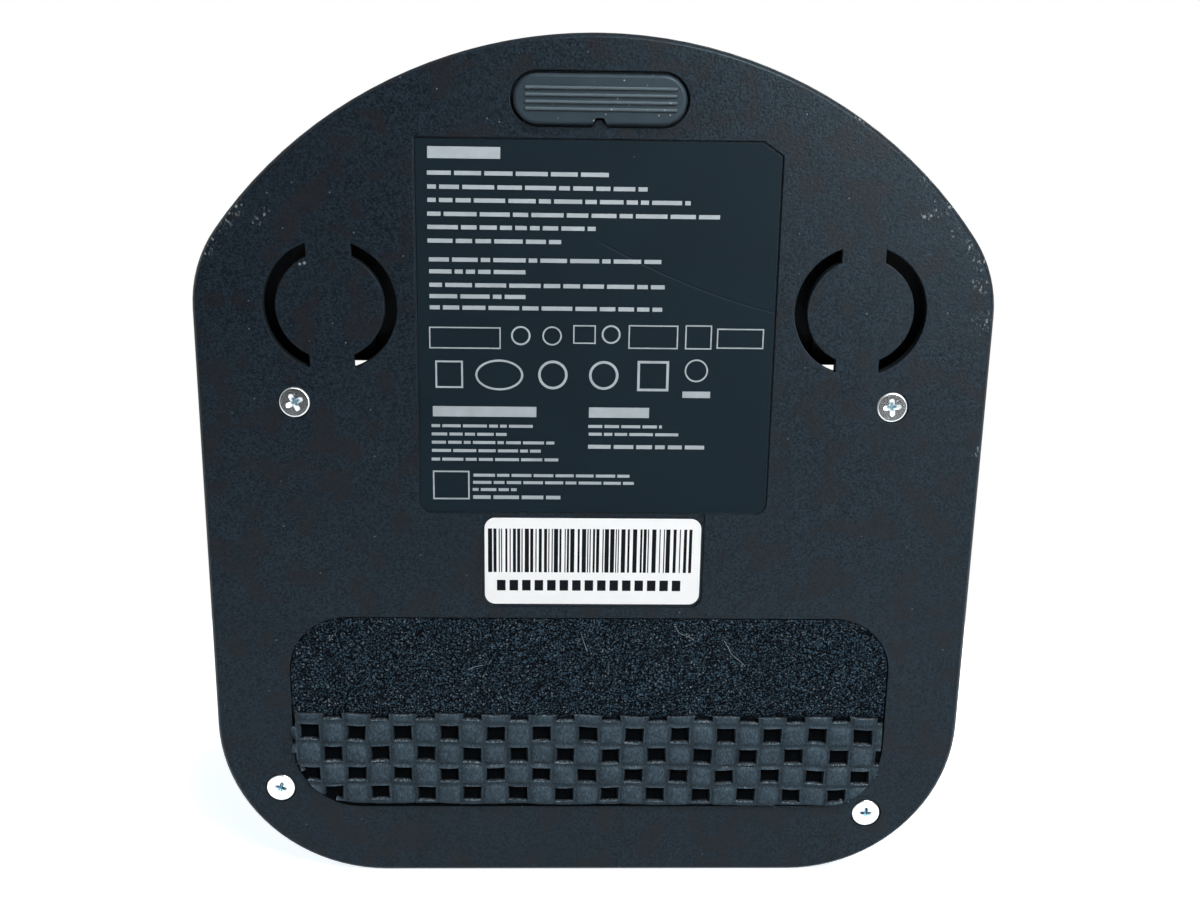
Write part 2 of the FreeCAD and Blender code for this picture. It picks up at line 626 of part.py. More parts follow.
def snap_hook(edge_x, y, sheet_top, side):
    """Springy wall beside the end of a sheet, with a head that catches over it."""
    near = edge_x + side * FIT_GAP
    far = near + side * HOOK_WALL
    tip = edge_x - side * HOOK_CATCH
    catch = sheet_top + STOP_GAP
    corners = [
        (near, SEAM_Z, 0),
        (far, SEAM_Z, 0),
        (far, catch + HOOK_HEAD, 0),
        (near, catch + HOOK_HEAD, 0),
        (tip, catch + HOOK_LAND, 0),
        (tip, catch, 0),
        (near, catch, 0),
    ]
    wire = rounded_polygon(corners, lambda x, z: V(x, y - HOOK_LENGTH / 2, z))
    return prism(wire, V(0, HOOK_LENGTH, 0))


def base_cover():
    """Moulded underside plate with its recesses, slots, posts, ribs and hooks."""
    plate = prism(Part.Wire(outline(0, UNDER_Z)), V(0, 0, BASE_WALL))
    lower_edges = [edge for edge in plate.Edges if edge.BoundBox.ZMax < UNDER_Z + TOUCH]
    plate = plate.makeChamfer(BASE_EDGE_CHAMFER, lower_edges)
    grown = [plate] + locating_ribs()
    grown += [slab(x, y, BOARD_POST, BOARD_POST, 0, SEAM_Z, BOARD_Z) for x, y in board_post_places()]
    hook_y = BOARD_REAR_Y - HOOK_FROM_REAR
    grown.append(snap_hook(BOARD_LEFT_X, hook_y, BOARD_TOP, -1))
    grown.append(snap_hook(BOARD_RIGHT_X, hook_y, BOARD_TOP, 1))
    ballast_top = BALLAST_Z + BALLAST_SHEET
    grown += [snap_hook(side * BALLAST_WIDTH / 2, PAD_Y, ballast_top, side) for side in SIDES.values()]
    stop_reach = BALLAST_LENGTH / 2 + FIT_GAP + BALLAST_STOP / 2
    grown += [slab(0, PAD_Y + sign * stop_reach, BALLAST_STOP_LENGTH, BALLAST_STOP, 0, SEAM_Z, ballast_top)
              for sign in (-1, 1)]
    body = fuse_all(grown)
    foot_top = UNDER_Z + FOOT_RECESS
    foot_well = front_foot_plan(FOOT_GAP, UNDER_Z, foot_top)
    cuts = [label_recess(), foot_well.cut(foot_notch(FOOT_GAP / 2, UNDER_Z, foot_top))]
    cuts.append(pad_block(0, UNDER_Z, UNDER_Z + PAD_RECESS))
    cuts += [split_slot(side) for side in SIDES.values()]
    for x, y, _ in front_screw_places() + rear_screw_places():
        cuts.append(post(x, y, SCREW_HEAD_RADIUS + SCREW_HOLE_GAP, UNDER_Z, UNDER_Z + SCREW_SEAT))
        cuts.append(post(x, y, SCREW_RADIUS + SCREW_HOLE_GAP, UNDER_Z, SEAM_Z))
    return body.cut(Part.makeCompound(cuts))


def front_foot():
    """Rubber foot with ribs along it and a notch at its rear edge."""
    body = front_foot_plan(0, FOOT_RIB, UNDER_Z + FOOT_RECESS)
    rib_length = FOOT_LENGTH - 2 * FOOT_RIB_END
    first = FOOT_Y - FOOT_RIB_PITCH * (FOOT_RIB_COUNT - 1) / 2
    ribs = [slab(0, first + k * FOOT_RIB_PITCH, rib_length, FOOT_RIB_WIDTH, 0, 0, FOOT_RIB)
            for k in range(FOOT_RIB_COUNT)]
    return fuse_all([body] + ribs).cut(foot_notch(0, 0, UNDER_Z + FOOT_RECESS))


def rating_label():
    """Film label in the recess."""
    top = UNDER_Z + LABEL_RECESS
    return label_plan(top - LABEL_SHEET, top)


def serial_label():
    """Sticker on the recess's tab."""
    top = UNDER_Z + LABEL_RECESS
    y = (SERIAL_FRONT_Y + SERIAL_REAR_Y) / 2
    return slab(0, y, SERIAL_WIDTH, SERIAL_HEIGHT, SERIAL_CORNER, top - SERIAL_SHEET, top)


def pad_block(gap, low, high):
    """Block in the outline of the pad's recess, smaller all round by the gap."""
    half = PAD_WIDTH / 2 - gap
    front, rear = PAD_FRONT_Y + gap, PAD_REAR_Y - gap
    front_radius, rear_radius = PAD_FRONT_RADIUS - gap, PAD_REAR_RADIUS - gap
    corners = [(-half, front, front_radius), (half, front, front_radius)]
    corners += [(half, rear, rear_radius), (-half, rear, rear_radius)]
    return prism(rounded_polygon(corners, level(low)), V(0, 0, high - low))


def foam_pad():
    """Foam that fills the rear recess."""
    return pad_block(PAD_GAP, MAT_Z, MAT_Z + FOAM_THICKNESS)


def grip_mat():
    """Rubber mat on the rear part of the foam, with holes in a checker pattern."""
    rear = PAD_REAR_Y - PAD_GAP
    front = rear - MAT_LENGTH
    half = PAD_WIDTH / 2 - PAD_GAP
    radius = PAD_REAR_RADIUS - PAD_GAP
    corners = [(-half, front, 0), (half, front, 0), (half, rear, radius), (-half, rear, radius)]
    body = prism(rounded_polygon(corners, level(0)), V(0, 0, MAT_Z))
    rows = int((MAT_LENGTH - MAT_TAB - MAT_BORDER) / MAT_CELL)
    columns = int((half - MAT_BORDER - MAT_HOLE_X / 2) / MAT_CELL)
    first_y = front + MAT_TAB + MAT_BORDER + MAT_CELL / 2
    corner_x, corner_y = half - radius, rear - radius
    holes = []
    for row in range(-1, rows):
        y = first_y + row * MAT_CELL
        for column in range(-columns, columns + 1):
            x = column * MAT_CELL
            far_x = abs(x) + MAT_HOLE_X / 2 - corner_x
            far_y = y + MAT_HOLE_Y / 2 - corner_y
            in_corner = far_x > 0 and far_y > 0 and math.hypot(far_x, far_y) > radius - MAT_BORDER
            if (row + column) % 2 == 0 and not in_corner:
                holes.append(slab(x, y, MAT_HOLE_X, MAT_HOLE_Y, 0, 0, MAT_Z))
    return body.cut(Part.makeCompound(holes))


def base_screw(place, length):
    """Cross-head screw driven up through the base."""
    x, y, turn = place
    seat = UNDER_Z + SCREW_SEAT
    face = seat - SCREW_HEAD_HEIGHT
    head = post(x, y, SCREW_HEAD_RADIUS, face, seat)
    body = head.fuse(lobed_core(x, y, SCREW_RADIUS, seat, seat + length))
    bar = slab(x, y, SCREW_CROSS_WIDTH, SCREW_CROSS_SPAN, 0, face, face + SCREW_CROSS_DEPTH)
    for angle in (turn, turn + 90):
        body = body.cut(bar.rotated(V(x, y, 0), V(0, 0, 1), angle))
    return body


def front_screws():
    """The two front screws."""
    return Part.makeCompound([base_screw(place, FRONT_SCREW_LENGTH) for place in front_screw_places()])


def rear_screws():
    """The two rear screws."""
    return Part.makeCompound([base_screw(place, REAR_SCREW_LENGTH) for place in rear_screw_places()])


def arch(drop):
    """Start, top and end of the contact's arch as (y, z) from its middle, lowered by drop."""
    half = CONTACT_LENGTH / 2 - drop
    end_z = PLATFORM_Z + CONTACT_END - drop
    return (-half, end_z), (0, PLATFORM_Z + CONTACT_CROWN - drop), (half, end_z)


def straight_run(points):
    """Line edges from point to point, leaving out those with no length."""
    return [Part.makeLine(a, b) for a, b in zip(points, points[1:]) if (b - a).Length > TOUCH]


def contact(side):
    """Arched contact strip with both ends folded down."""
    low = PLATFORM_Z - CONTACT_LEG
    at = lambda y, z: V(side * CONTACT_X - CONTACT_WIDTH / 2, CONTACT_Y + y, z)
    outer = [at(*spot) for spot in arch(0)]
    inner = [at(*spot) for spot in arch(CONTACT_SHEET)]
    below = lambda spot: V(spot.x, spot.y, low)
    edges = [Part.Arc(*outer).toShape()]
    edges += straight_run([outer[2], below(outer[2]), below(inner[2]), inner[2]])
    edges.append(Part.Arc(*reversed(inner)).toShape())
    edges += straight_run([inner[0], below(inner[0]), below(outer[0]), outer[0]])
    return prism(Part.Wire(edges), V(CONTACT_WIDTH, 0, 0))


def spring_top():
    """Height of the spring's crown, under the roof of the carrier's pocket."""
    return PLATFORM_Z + CONTACT_CROWN - CONTACT_SHEET - SPRING_POCKET_ROOF


def contact_carrier(side):
    """Carrier under the contact, with ears that stop under the platform and a pocket for the spring."""
    x = side * CONTACT_X
    start, top, end = arch(CONTACT_SHEET)
    at = lambda y, z: V(x - CONTACT_WIDTH / 2, CONTACT_Y + y, z)
    edges = [Part.Arc(at(*start), at(*top), at(*end)).toShape()]
    edges += straight_run([at(*end), at(end[0], FLANGE_Z), at(start[0], FLANGE_Z), at(*start)])
    block = prism(Part.Wire(edges), V(CONTACT_WIDTH, 0, 0))
    ears = CONTACT_WIDTH + 2 * WINDOW_GAP + 2 * CARRIER_EAR
    flange = slab(x, CONTACT_Y, ears, CONTACT_LENGTH, 0, FLANGE_Z, FLANGE_Z + CARRIER_FLANGE)
    pocket_width = SPRING_WIDTH + 2 * SPRING_GAP
    pocket_length = SPRING_SPAN + 2 * SPRING_GAP
    pocket = slab(x, CONTACT_Y, pocket_width, pocket_length, 0, FLANGE_Z, spring_top())
    return fuse_all([block, flange]).cut(pocket)


def contact_spring(side):
    """Folded leaf spring that stands on the terminal and lifts the carrier."""
    top = spring_top()
    foot, crown = SPRING_SPAN / 2, SPRING_CROWN / 2
    slant = math.atan2(top - TERMINAL_Z, foot - crown)
    inner_foot = foot - SPRING_SHEET / math.sin(slant)
    inner_crown = crown - SPRING_SHEET * math.tan(slant / 2)
    right = [(foot, TERMINAL_Z), (crown, top)]
    inside = [(inner_crown, top - SPRING_SHEET), (inner_foot, TERMINAL_Z)]
    ring = inside + right
    ring += [(-y, z) for y, z in reversed(right)] + [(-y, z) for y, z in reversed(inside)]
    corners = [(CONTACT_Y + y, z, 0) for y, z in ring]
    wire = rounded_polygon(corners, lambda y, z: V(side * CONTACT_X - SPRING_WIDTH / 2, y, z))
    return prism(wire, V(SPRING_WIDTH, 0, 0))


def contact_strip(side):
    """Sheet strip: a pad under the spring, a run over the slot's bridge and a fold up to the power board."""
    x = side * CONTACT_X
    pad = slab(x, CONTACT_Y, TERMINAL_PAD_WIDTH, TERMINAL_PAD, 0, SEAM_Z, TERMINAL_Z)
    end_y = BOARD_FRONT_Y + STRIP_BEHIND
    run = slab(x, (CONTACT_Y + end_y) / 2, TERMINAL_STRIP, end_y - CONTACT_Y, 0, SEAM_Z, TERMINAL_Z)
    fold = slab(x, end_y - TERMINAL_SHEET / 2, TERMINAL_STRIP, TERMINAL_SHEET, 0, SEAM_Z, BOARD_Z)
    return fuse_all([pad, run, fold])


def ballast_plate():
    """Steel plate that weighs the dock down, with cut corners."""
    half_x, half_y = BALLAST_WIDTH / 2, BALLAST_LENGTH / 2
    near_x, near_y = half_x - BALLAST_CORNER, half_y - BALLAST_CORNER
    quarter = [(near_x, -half_y), (half_x, -near_y), (half_x, near_y), (near_x, half_y)]
    ring = quarter + [(-x, -y) for x, y in quarter]
    corners = [(x, PAD_Y + y, 0) for x, y in ring]
    return prism(rounded_polygon(corners, level(BALLAST_Z)), V(0, 0, BALLAST_SHEET))


def power_board():
    """Circuit board of the power supply, on four posts and between two hooks."""
    width = BOARD_RIGHT_X - BOARD_LEFT_X
    x = (BOARD_RIGHT_X + BOARD_LEFT_X) / 2
    y = (BOARD_FRONT_Y + BOARD_REAR_Y) / 2
    return slab(x, y, width, BOARD_LENGTH, 0, BOARD_Z, BOARD_TOP)


def inlet_mouth():
    """Two-lobed mouth of the inlet, as deep as the plug goes."""
    depth_x = INLET_FACE_X - INLET_MOUTH_DEPTH
    place = lambda y, z: V(depth_x, y, z)
    half = INLET_MOUTH_HEIGHT / 2
    wire = rounded_rectangle(INLET_Y, INLET_Z, INLET_MOUTH_WIDTH, INLET_MOUTH_HEIGHT, half, place)
    mouth = prism(wire, V(INLET_MOUTH_DEPTH, 0, 0))
    for sign in (-1, 1):
        corners = [
            (INLET_Y - 2 * INLET_WAIST, INLET_Z + sign * half, 0),
            (INLET_Y, INLET_Z + sign * (half - INLET_WAIST), 0),
            (INLET_Y + 2 * INLET_WAIST, INLET_Z + sign * half, 0),
        ]
        mouth = mouth.cut(prism(rounded_polygon(corners, place), V(INLET_MOUTH_DEPTH, 0, 0)))
    return mouth


def inlet_socket():
    """Moulded inlet that stands on the power board and looks out through the tower's right wall."""
    return inlet_block(0, 0).cut(inlet_mouth())


def inlet_pins():
    """The inlet's two round pins, on the bottom of its mouth."""
    foot_x = INLET_FACE_X - INLET_MOUTH_DEPTH
    pins = []
    for sign in (-1, 1):
        foot = V(foot_x, INLET_Y + sign * INLET_PIN_PITCH / 2, INLET_Z)
        pins.append(Part.makeCylinder(INLET_PIN_RADIUS, INLET_PIN_LENGTH, foot, V(1, 0, 0)))
    return Part.makeCompound(pins)


def board_block(x, back, size):
    """Block that stands on the power board."""
    return slab(x, BOARD_FRONT_Y + back, size[0], size[1], 0, BOARD_TOP, BOARD_TOP + size[2])


def fuse():
    """Box fuse beside the inlet."""
    return board_block(FUSE_X, FUSE_BACK, FUSE_SIZE)


def line_capacitor():
    """Box capacitor across the mains."""
    return board_block(LINE_CAPACITOR_X, LINE_CAPACITOR_BACK, LINE_CAPACITOR_SIZE)


def line_choke():
    """Choke in the mains input: a coil between two cheeks."""
    block = board_block(LINE_CHOKE_X, LINE_CHOKE_BACK, LINE_CHOKE_SIZE)
    x, y = LINE_CHOKE_X, BOARD_FRONT_Y + LINE_CHOKE_BACK
    width, length, height = LINE_CHOKE_SIZE
    waist = slab(x, y, width - 2 * CHOKE_CHEEK, 2 * length, 0, BOARD_TOP, BOARD_TOP + 2 * height)
    coil = slab(x, y, width, length - 2 * CHOKE_CHEEK, 0, BOARD_TOP, BOARD_TOP + height - CHOKE_CHEEK)
    return fuse_all([block.cut(waist), coil])


def bridge_rectifier():
    """Upright bridge rectifier."""
    return board_block(RECTIFIER_X, RECTIFIER_BACK, RECTIFIER_SIZE)


def bulk_capacitor():
    """Large capacitor after the rectifier."""
    x, y = BULK_CAPACITOR_X, BOARD_FRONT_Y + BULK_CAPACITOR_BACK
    return post(x, y, BULK_CAPACITOR_RADIUS, BOARD_TOP, BOARD_TOP + BULK_CAPACITOR_HEIGHT)


def transformer_core():
    """Ferrite core: a frame with a middle leg through the winding."""
    block = board_block(TRANSFORMER_X, TRANSFORMER_BACK, CORE_SIZE)
    x, y = TRANSFORMER_X, BOARD_FRONT_Y + TRANSFORMER_BACK
    eye = (CORE_SIZE[0] - 3 * CORE_LEG) / 2
    low = BOARD_TOP + CORE_LEG / 2
    high = BOARD_TOP + CORE_SIZE[2] - CORE_LEG / 2
    eyes = [slab(x + sign * (CORE_LEG + eye) / 2, y, eye, 2 * CORE_SIZE[1], 0, low, high) for sign in (-1, 1)]
    return block.cut(Part.makeCompound(eyes))


def transformer_winding():
    """Winding around the core's middle leg, bulging out at the front and rear, on two feet."""
    x, y = TRANSFORMER_X, BOARD_FRONT_Y + TRANSFORMER_BACK
    eye = (CORE_SIZE[0] - 3 * CORE_LEG) / 2
    width = CORE_LEG + 2 * eye - 2 * WINDING_GAP
    low = BOARD_TOP + CORE_LEG / 2 + WINDING_GAP
    high = BOARD_TOP + CORE_SIZE[2] - CORE_LEG / 2 - WINDING_GAP
    coil = slab(x, y, width, WINDING_SPAN, 0, low, high)
    leg = slab(x, y, CORE_LEG + 2 * WINDING_GAP, CORE_SIZE[1] + 2 * WINDING_GAP, 0, low, high)
    reach = (WINDING_SPAN - WINDING_FOOT) / 2
    feet = [slab(x, y + sign * reach, width, WINDING_FOOT, 0, BOARD_TOP, low) for sign in (-1, 1)]
    return fuse_all([coil.cut(leg)] + feet)


def heat_sink():
    """Folded sheet that cools the power switch."""
    x, y = HEAT_SINK_X, BOARD_FRONT_Y + HEAT_SINK_BACK
    width, thickness, height = HEAT_SINK_SIZE
    top = BOARD_TOP + height
    fold_y = y + (HEAT_SINK_FOLD - thickness) / 2
    fold = slab(x, fold_y, width, HEAT_SINK_FOLD, 0, top - thickness, top)
    return fuse_all([board_block(x, HEAT_SINK_BACK, HEAT_SINK_SIZE), fold])


def power_switch():
    """Power transistor clamped to the front of the heat sink."""
    back = HEAT_SINK_BACK - HEAT_SINK_SIZE[1] / 2 - SWITCH_SIZE[1] / 2
    return board_block(HEAT_SINK_X, back, SWITCH_SIZE)


def output_capacitor():
    """Smoothing capacitor on the low-voltage side."""
    x, y = OUTPUT_CAPACITOR_X, BOARD_FRONT_Y + OUTPUT_CAPACITOR_BACK
    return post(x, y, OUTPUT_CAPACITOR_RADIUS, BOARD_TOP, BOARD_TOP + OUTPUT_CAPACITOR_HEIGHT)


def signal_header():
    """Connector for the ribbon on the power board."""
    return slab(RIBBON_X, RIBBON_Y, HEADER_WIDTH, HEADER_LENGTH, 0, BOARD_TOP, BOARD_TOP + HEADER_HEIGHT)


def signal_ribbon():
    """Flat ribbon from the header straight up to the signal board."""
    low, high = BOARD_TOP + HEADER_HEIGHT, SIGNAL_TOP - SIGNAL_BOARD_SHEET
    return slab(RIBBON_X, RIBBON_Y, RIBBON_WIDTH, RIBBON_SHEET, 0, low, high)


def signal_board():
    """Small circuit board in the rails under the roof."""
    low = SIGNAL_TOP - SIGNAL_BOARD_SHEET
    return slab(0, SIGNAL_Y, SIGNAL_BOARD_WIDTH, SIGNAL_BOARD_LENGTH, 0, low, SIGNAL_TOP)


def guide_emitters():
    """Two infrared diodes on the signal board that look out through the front window."""
    y = SIGNAL_FRONT_Y + EMITTER_LENGTH / 2
    high = SIGNAL_TOP + EMITTER_HEIGHT
    diodes = [slab(side * EMITTER_PITCH / 2, y, EMITTER_WIDTH, EMITTER_LENGTH, 0, SIGNAL_TOP, high)
              for side in SIDES.values()]
    return Part.makeCompound(diodes)


def status_lamp():
    """Small lamp between the guide emitters."""
    y = SIGNAL_FRONT_Y + LAMP_LENGTH / 2
    return slab(0, y, LAMP_WIDTH, LAMP_LENGTH, 0, SIGNAL_TOP, SIGNAL_TOP + LAMP_HEIGHT)


def front_window():
    """Smoked pane flush with the tower's hollow front, with a flange behind the wall."""
    wall = tower_body(0, CEILING_Z).cut(tower_body(WALL, SEAM_Z))
    backing = tower_body(WALL, CEILING_Z).cut(tower_body(WALL + PANE_FLANGE, SEAM_Z))
    pane = wall.common(window_block(-PANE_GAP))
    return fuse_all([pane, backing.common(window_block(PANE_BORDER))])


PIECES = [
    base_cover, top_housing, front_foot, rating_label, serial_label, foam_pad, grip_mat,
    front_screws, rear_screws, ballast_plate, power_board, inlet_socket, inlet_pins,
    fuse, line_capacitor, line_choke, bridge_rectifier, bulk_capacitor, transformer_core,
    transformer_winding, heat_sink, power_switch, output_capacitor, signal_header,
    signal_ribbon, signal_board, guide_emitters, status_lamp, front_window,
]
PAIRS = [contact, contact_carrier, contact_spring, contact_strip]


def main():
    """Write every piece to its own file."""
    os.makedirs("parts", exist_ok=True)
    for piece in PIECES:
        piece().exportStep("parts/" + piece.__name__ + ".step")
    for side_name, side in SIDES.items():
        for piece in PAIRS:
            piece(side).exportStep("parts/" + side_name + "_" + piece.__name__ + ".step")


main()
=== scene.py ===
"""Charging dock of a robot vacuum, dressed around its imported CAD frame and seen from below."""

import math
import random

import bpy
from bpy.props import FloatProperty, FloatVectorProperty, IntProperty, PointerProperty
from bpy.types import Operator, Panel, PropertyGroup
from mathutils import Matrix, Vector


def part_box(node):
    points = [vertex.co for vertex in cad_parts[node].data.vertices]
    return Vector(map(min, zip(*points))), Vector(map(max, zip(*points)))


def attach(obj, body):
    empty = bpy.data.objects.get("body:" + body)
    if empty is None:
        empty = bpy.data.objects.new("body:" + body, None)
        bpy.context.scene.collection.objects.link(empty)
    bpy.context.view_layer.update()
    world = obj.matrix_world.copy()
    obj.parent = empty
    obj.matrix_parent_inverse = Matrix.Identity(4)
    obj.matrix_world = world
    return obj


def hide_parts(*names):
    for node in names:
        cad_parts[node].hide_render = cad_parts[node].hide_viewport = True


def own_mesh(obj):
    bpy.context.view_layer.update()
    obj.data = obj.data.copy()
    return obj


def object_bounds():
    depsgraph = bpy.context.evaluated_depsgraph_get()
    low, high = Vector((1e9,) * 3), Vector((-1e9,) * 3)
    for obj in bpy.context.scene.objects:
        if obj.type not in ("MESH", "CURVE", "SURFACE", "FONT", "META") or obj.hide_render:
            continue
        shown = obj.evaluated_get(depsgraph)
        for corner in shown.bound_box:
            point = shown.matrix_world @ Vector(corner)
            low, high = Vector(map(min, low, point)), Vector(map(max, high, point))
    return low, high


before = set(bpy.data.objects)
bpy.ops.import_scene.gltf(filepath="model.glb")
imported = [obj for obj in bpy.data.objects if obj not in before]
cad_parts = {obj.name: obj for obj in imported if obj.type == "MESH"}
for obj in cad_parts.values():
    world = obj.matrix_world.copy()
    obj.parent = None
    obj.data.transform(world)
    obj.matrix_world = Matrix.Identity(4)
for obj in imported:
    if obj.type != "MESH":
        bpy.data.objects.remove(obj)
CAD_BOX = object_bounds()

bl_info = {
    "name": "Robot Vacuum Charging Dock",
    "version": (1, 0, 0),
    "blender": (4, 5, 0),
    "location": "3D View > Sidebar > Dock",
    "description": "Dresses the charging dock's CAD frame in moulded, rubber, foam and printed finishes",
    "category": "Object",
}

MM = 0.001
SIDES = ("left", "right")


def paint(red, green, blue):
    """Scene-linear colour of a screen colour given as 0 to 255."""
    channels = []
    for value in (red, green, blue):
        share = value / 255
        channels.append(share / 12.92 if share <= 0.04045 else ((share + 0.055) / 1.055) ** 2.4)
    return tuple(channels)


def colour_prop(name, description, screen):
    """Colour that a user may change, with its default given as a screen colour."""
    return FloatVectorProperty(
        name=name, description=description, subtype="COLOR", size=3, min=0.0, max=1.0, default=paint(*screen)
    )


def length_prop(name, description, millimetres):
    """Length that a user may change, with its default in millimetres."""
    return FloatProperty(
        name=name, description=description, unit="LENGTH", precision=5, min=0.0, default=millimetres * MM
    )


def power_prop(name, description, watts):
    """Power of a lamp that a user may change."""
    return FloatProperty(name=name, description=description, subtype="POWER", min=0.0, default=watts)


class DockPlasticSettings(PropertyGroup):
    """Finish of the moulded plastic."""

    base: colour_prop("Base plate", "Textured plastic of the underside", (14, 21, 29))
    base_light: colour_prop("Base plate, grain", "Lighter grain of the spark texture", (35, 46, 56))
    base_warm: colour_prop("Base plate, warm", "Warmer blotches in the plastic", (28, 25, 27))
    # Colour of the painted shade on the walls of the slots, recesses and edges
    recess_shade: colour_prop("Base plate, recessed", "Dull walls of the slots, recesses and edges", (6, 9, 12))
    housing: colour_prop("Housing", "Plastic of the platform and tower", (27, 33, 39))
    scuff: colour_prop("Scuffs", "Pale marks where edges have rubbed", (150, 160, 165))
    edge: length_prop("Edge rounding", "Radius of the moulded edges", 0.22)


class DockRubberSettings(PropertyGroup):
    """Finish and sizes of the foot, the foam and the mat."""

    foot: colour_prop("Foot", "Rubber of the front foot", (40, 51, 59))
    # Paler rib tops: painted highlight and rubbed wear together
    foot_wear_and_highlight: colour_prop("Foot, worn", "Rubbed tops of the foot's ribs", (80, 91, 98))
    dust: colour_prop("Dust", "Specks of dust and lint", (158, 168, 174))
    rib_length: length_prop("Foot rib length", "Length of the foot's ribs", 28.6)
    rib_width: length_prop("Foot rib width", "Width of the foot's ribs", 0.8)
    rib_pitch: length_prop("Foot rib pitch", "Distance between the foot's ribs", 1.28)
    # Pores and cell walls: painted shade and painted highlight on the foam's texture
    foam: colour_prop("Foam", "Pores of the foam", (5, 8, 12))
    fleck: colour_prop("Foam flecks", "Cell walls that catch the light", (78, 104, 123))
    foam_warm: colour_prop("Foam, warm", "Warmer patches of the foam", (22, 26, 32))
    mat: colour_prop("Mat", "Rubber of the checkered mat", (62, 78, 89))
    cell: length_prop("Mat cell", "Pitch of the mat's checkered cells", 4.86)
    hole_x: length_prop("Mat hole width", "Width of each hole in the mat", 4.1)
    hole_y: length_prop("Mat hole length", "Length of each hole in the mat", 3.5)
    turn: FloatProperty(
        name="Mat turn",
        description="How far the mat was stuck on askew",
        subtype="ANGLE",
        default=math.radians(0.45),
    )


class DockLabelSettings(PropertyGroup):
    """Finish of the film label and the sticker, and of their plain marks."""

    film: colour_prop("Film", "Black film of the label", (19, 31, 39))
    ink: colour_prop("Film marks", "Pale ink of the label's plain bars", (160, 170, 176))
    paper: colour_prop("Sticker", "White coated paper", (246, 248, 249))
    bars: colour_prop("Sticker bars", "Dark ink of the sticker's plain bars", (10, 13, 20))
    seed: IntProperty(name="Bar lengths", description="Seed of the bars' lengths", default=5, min=0)


class DockMetalSettings(PropertyGroup):
    """Finish of the metal parts."""

    screw: colour_prop("Screws", "Zinc-plated screw heads", (236, 239, 241))
    # Colour of the painted shade down in the screws' crosses, bluish
    cross: colour_prop("Screw crosses", "Bluish plating down in the screws' crosses", (96, 136, 152))
    contact: colour_prop("Contacts", "Nickel-plated charging contacts", (214, 212, 204))


class DockStageSettings(PropertyGroup):
    """Camera, lamps and the surface the dock stands on."""

    lens: FloatProperty(name="Lens", description="Focal length on a 36 mm sensor", default=43.65, min=1.0)
    camera_at: FloatVectorProperty(
        name="Camera",
        description="Place of the camera",
        subtype="TRANSLATION",
        size=3,
        default=(-8.1 * MM, -88.65 * MM, -276.9 * MM),
    )
    key_power: power_prop("Key lamp", "Power of the lamp below the dock", 7.7)
    sheen_power: power_prop("Sheen lamp", "Power of the lamp that the plastic shines in", 3.4)
    fill_power: power_prop("Fill lamp", "Power of the soft lamp below", 0.3)
    top_power: power_prop("Top lamp", "Power of the lamp above", 9.0)
    ambient: FloatProperty(name="Ambient", description="Even light from all sides", default=0.14, min=0.0)


def opaque(colour):
    """Colour with full alpha, as a node socket takes it."""
    return tuple(colour) + (1.0,)


def shade(colour, share):
    """Colour made darker or paler by a share, with full alpha."""
    return opaque([min(1.0, channel * share) for channel in colour])


WHITE = opaque((1.0, 1.0, 1.0))
# Cool tint of the sheen on the dark plastic, rubber and film
SHEEN = (0.7, 0.9, 1.0, 1.0)
# Range that most values of a noise are in
MIDDLE = (0.3, 0.7)


class Nodes:
    """Adds nodes to one node tree and links them."""

    def __init__(self, tree):
        self.tree = tree
        tree.nodes.clear()

    def add(self, kind, inputs=None, **settings):
        """New node with these settings, its inputs written or linked by name or number."""
        node = self.tree.nodes.new("ShaderNode" + kind)
        for key, value in settings.items():
            setattr(node, key, value)
        for key, value in (inputs or {}).items():
            self.feed(node.inputs[key], value)
        return node

    def feed(self, socket, value):
        """Link an output to a socket, or write a constant on it."""
        if isinstance(value, bpy.types.NodeSocket):
            self.tree.links.new(value, socket)
        else:
            socket.default_value = value

    def span(self, value, low, high, to_low=0.0, to_high=1.0):
        """Value carried from one range to another, held at its ends."""
        return self.add("MapRange", {0: value, 1: low, 2: high, 3: to_low, 4: to_high}).outputs[0]

    def calc(self, operation, first, second=0.0):
        """One step of arithmetic."""
        return self.add("Math", {0: first, 1: second}, operation=operation).outputs[0]

    def mix(self, share, first, second):
        """Blend of two colours."""
        return self.add("Mix", {0: share, 6: first, 7: second}, data_type="RGBA").outputs[2]


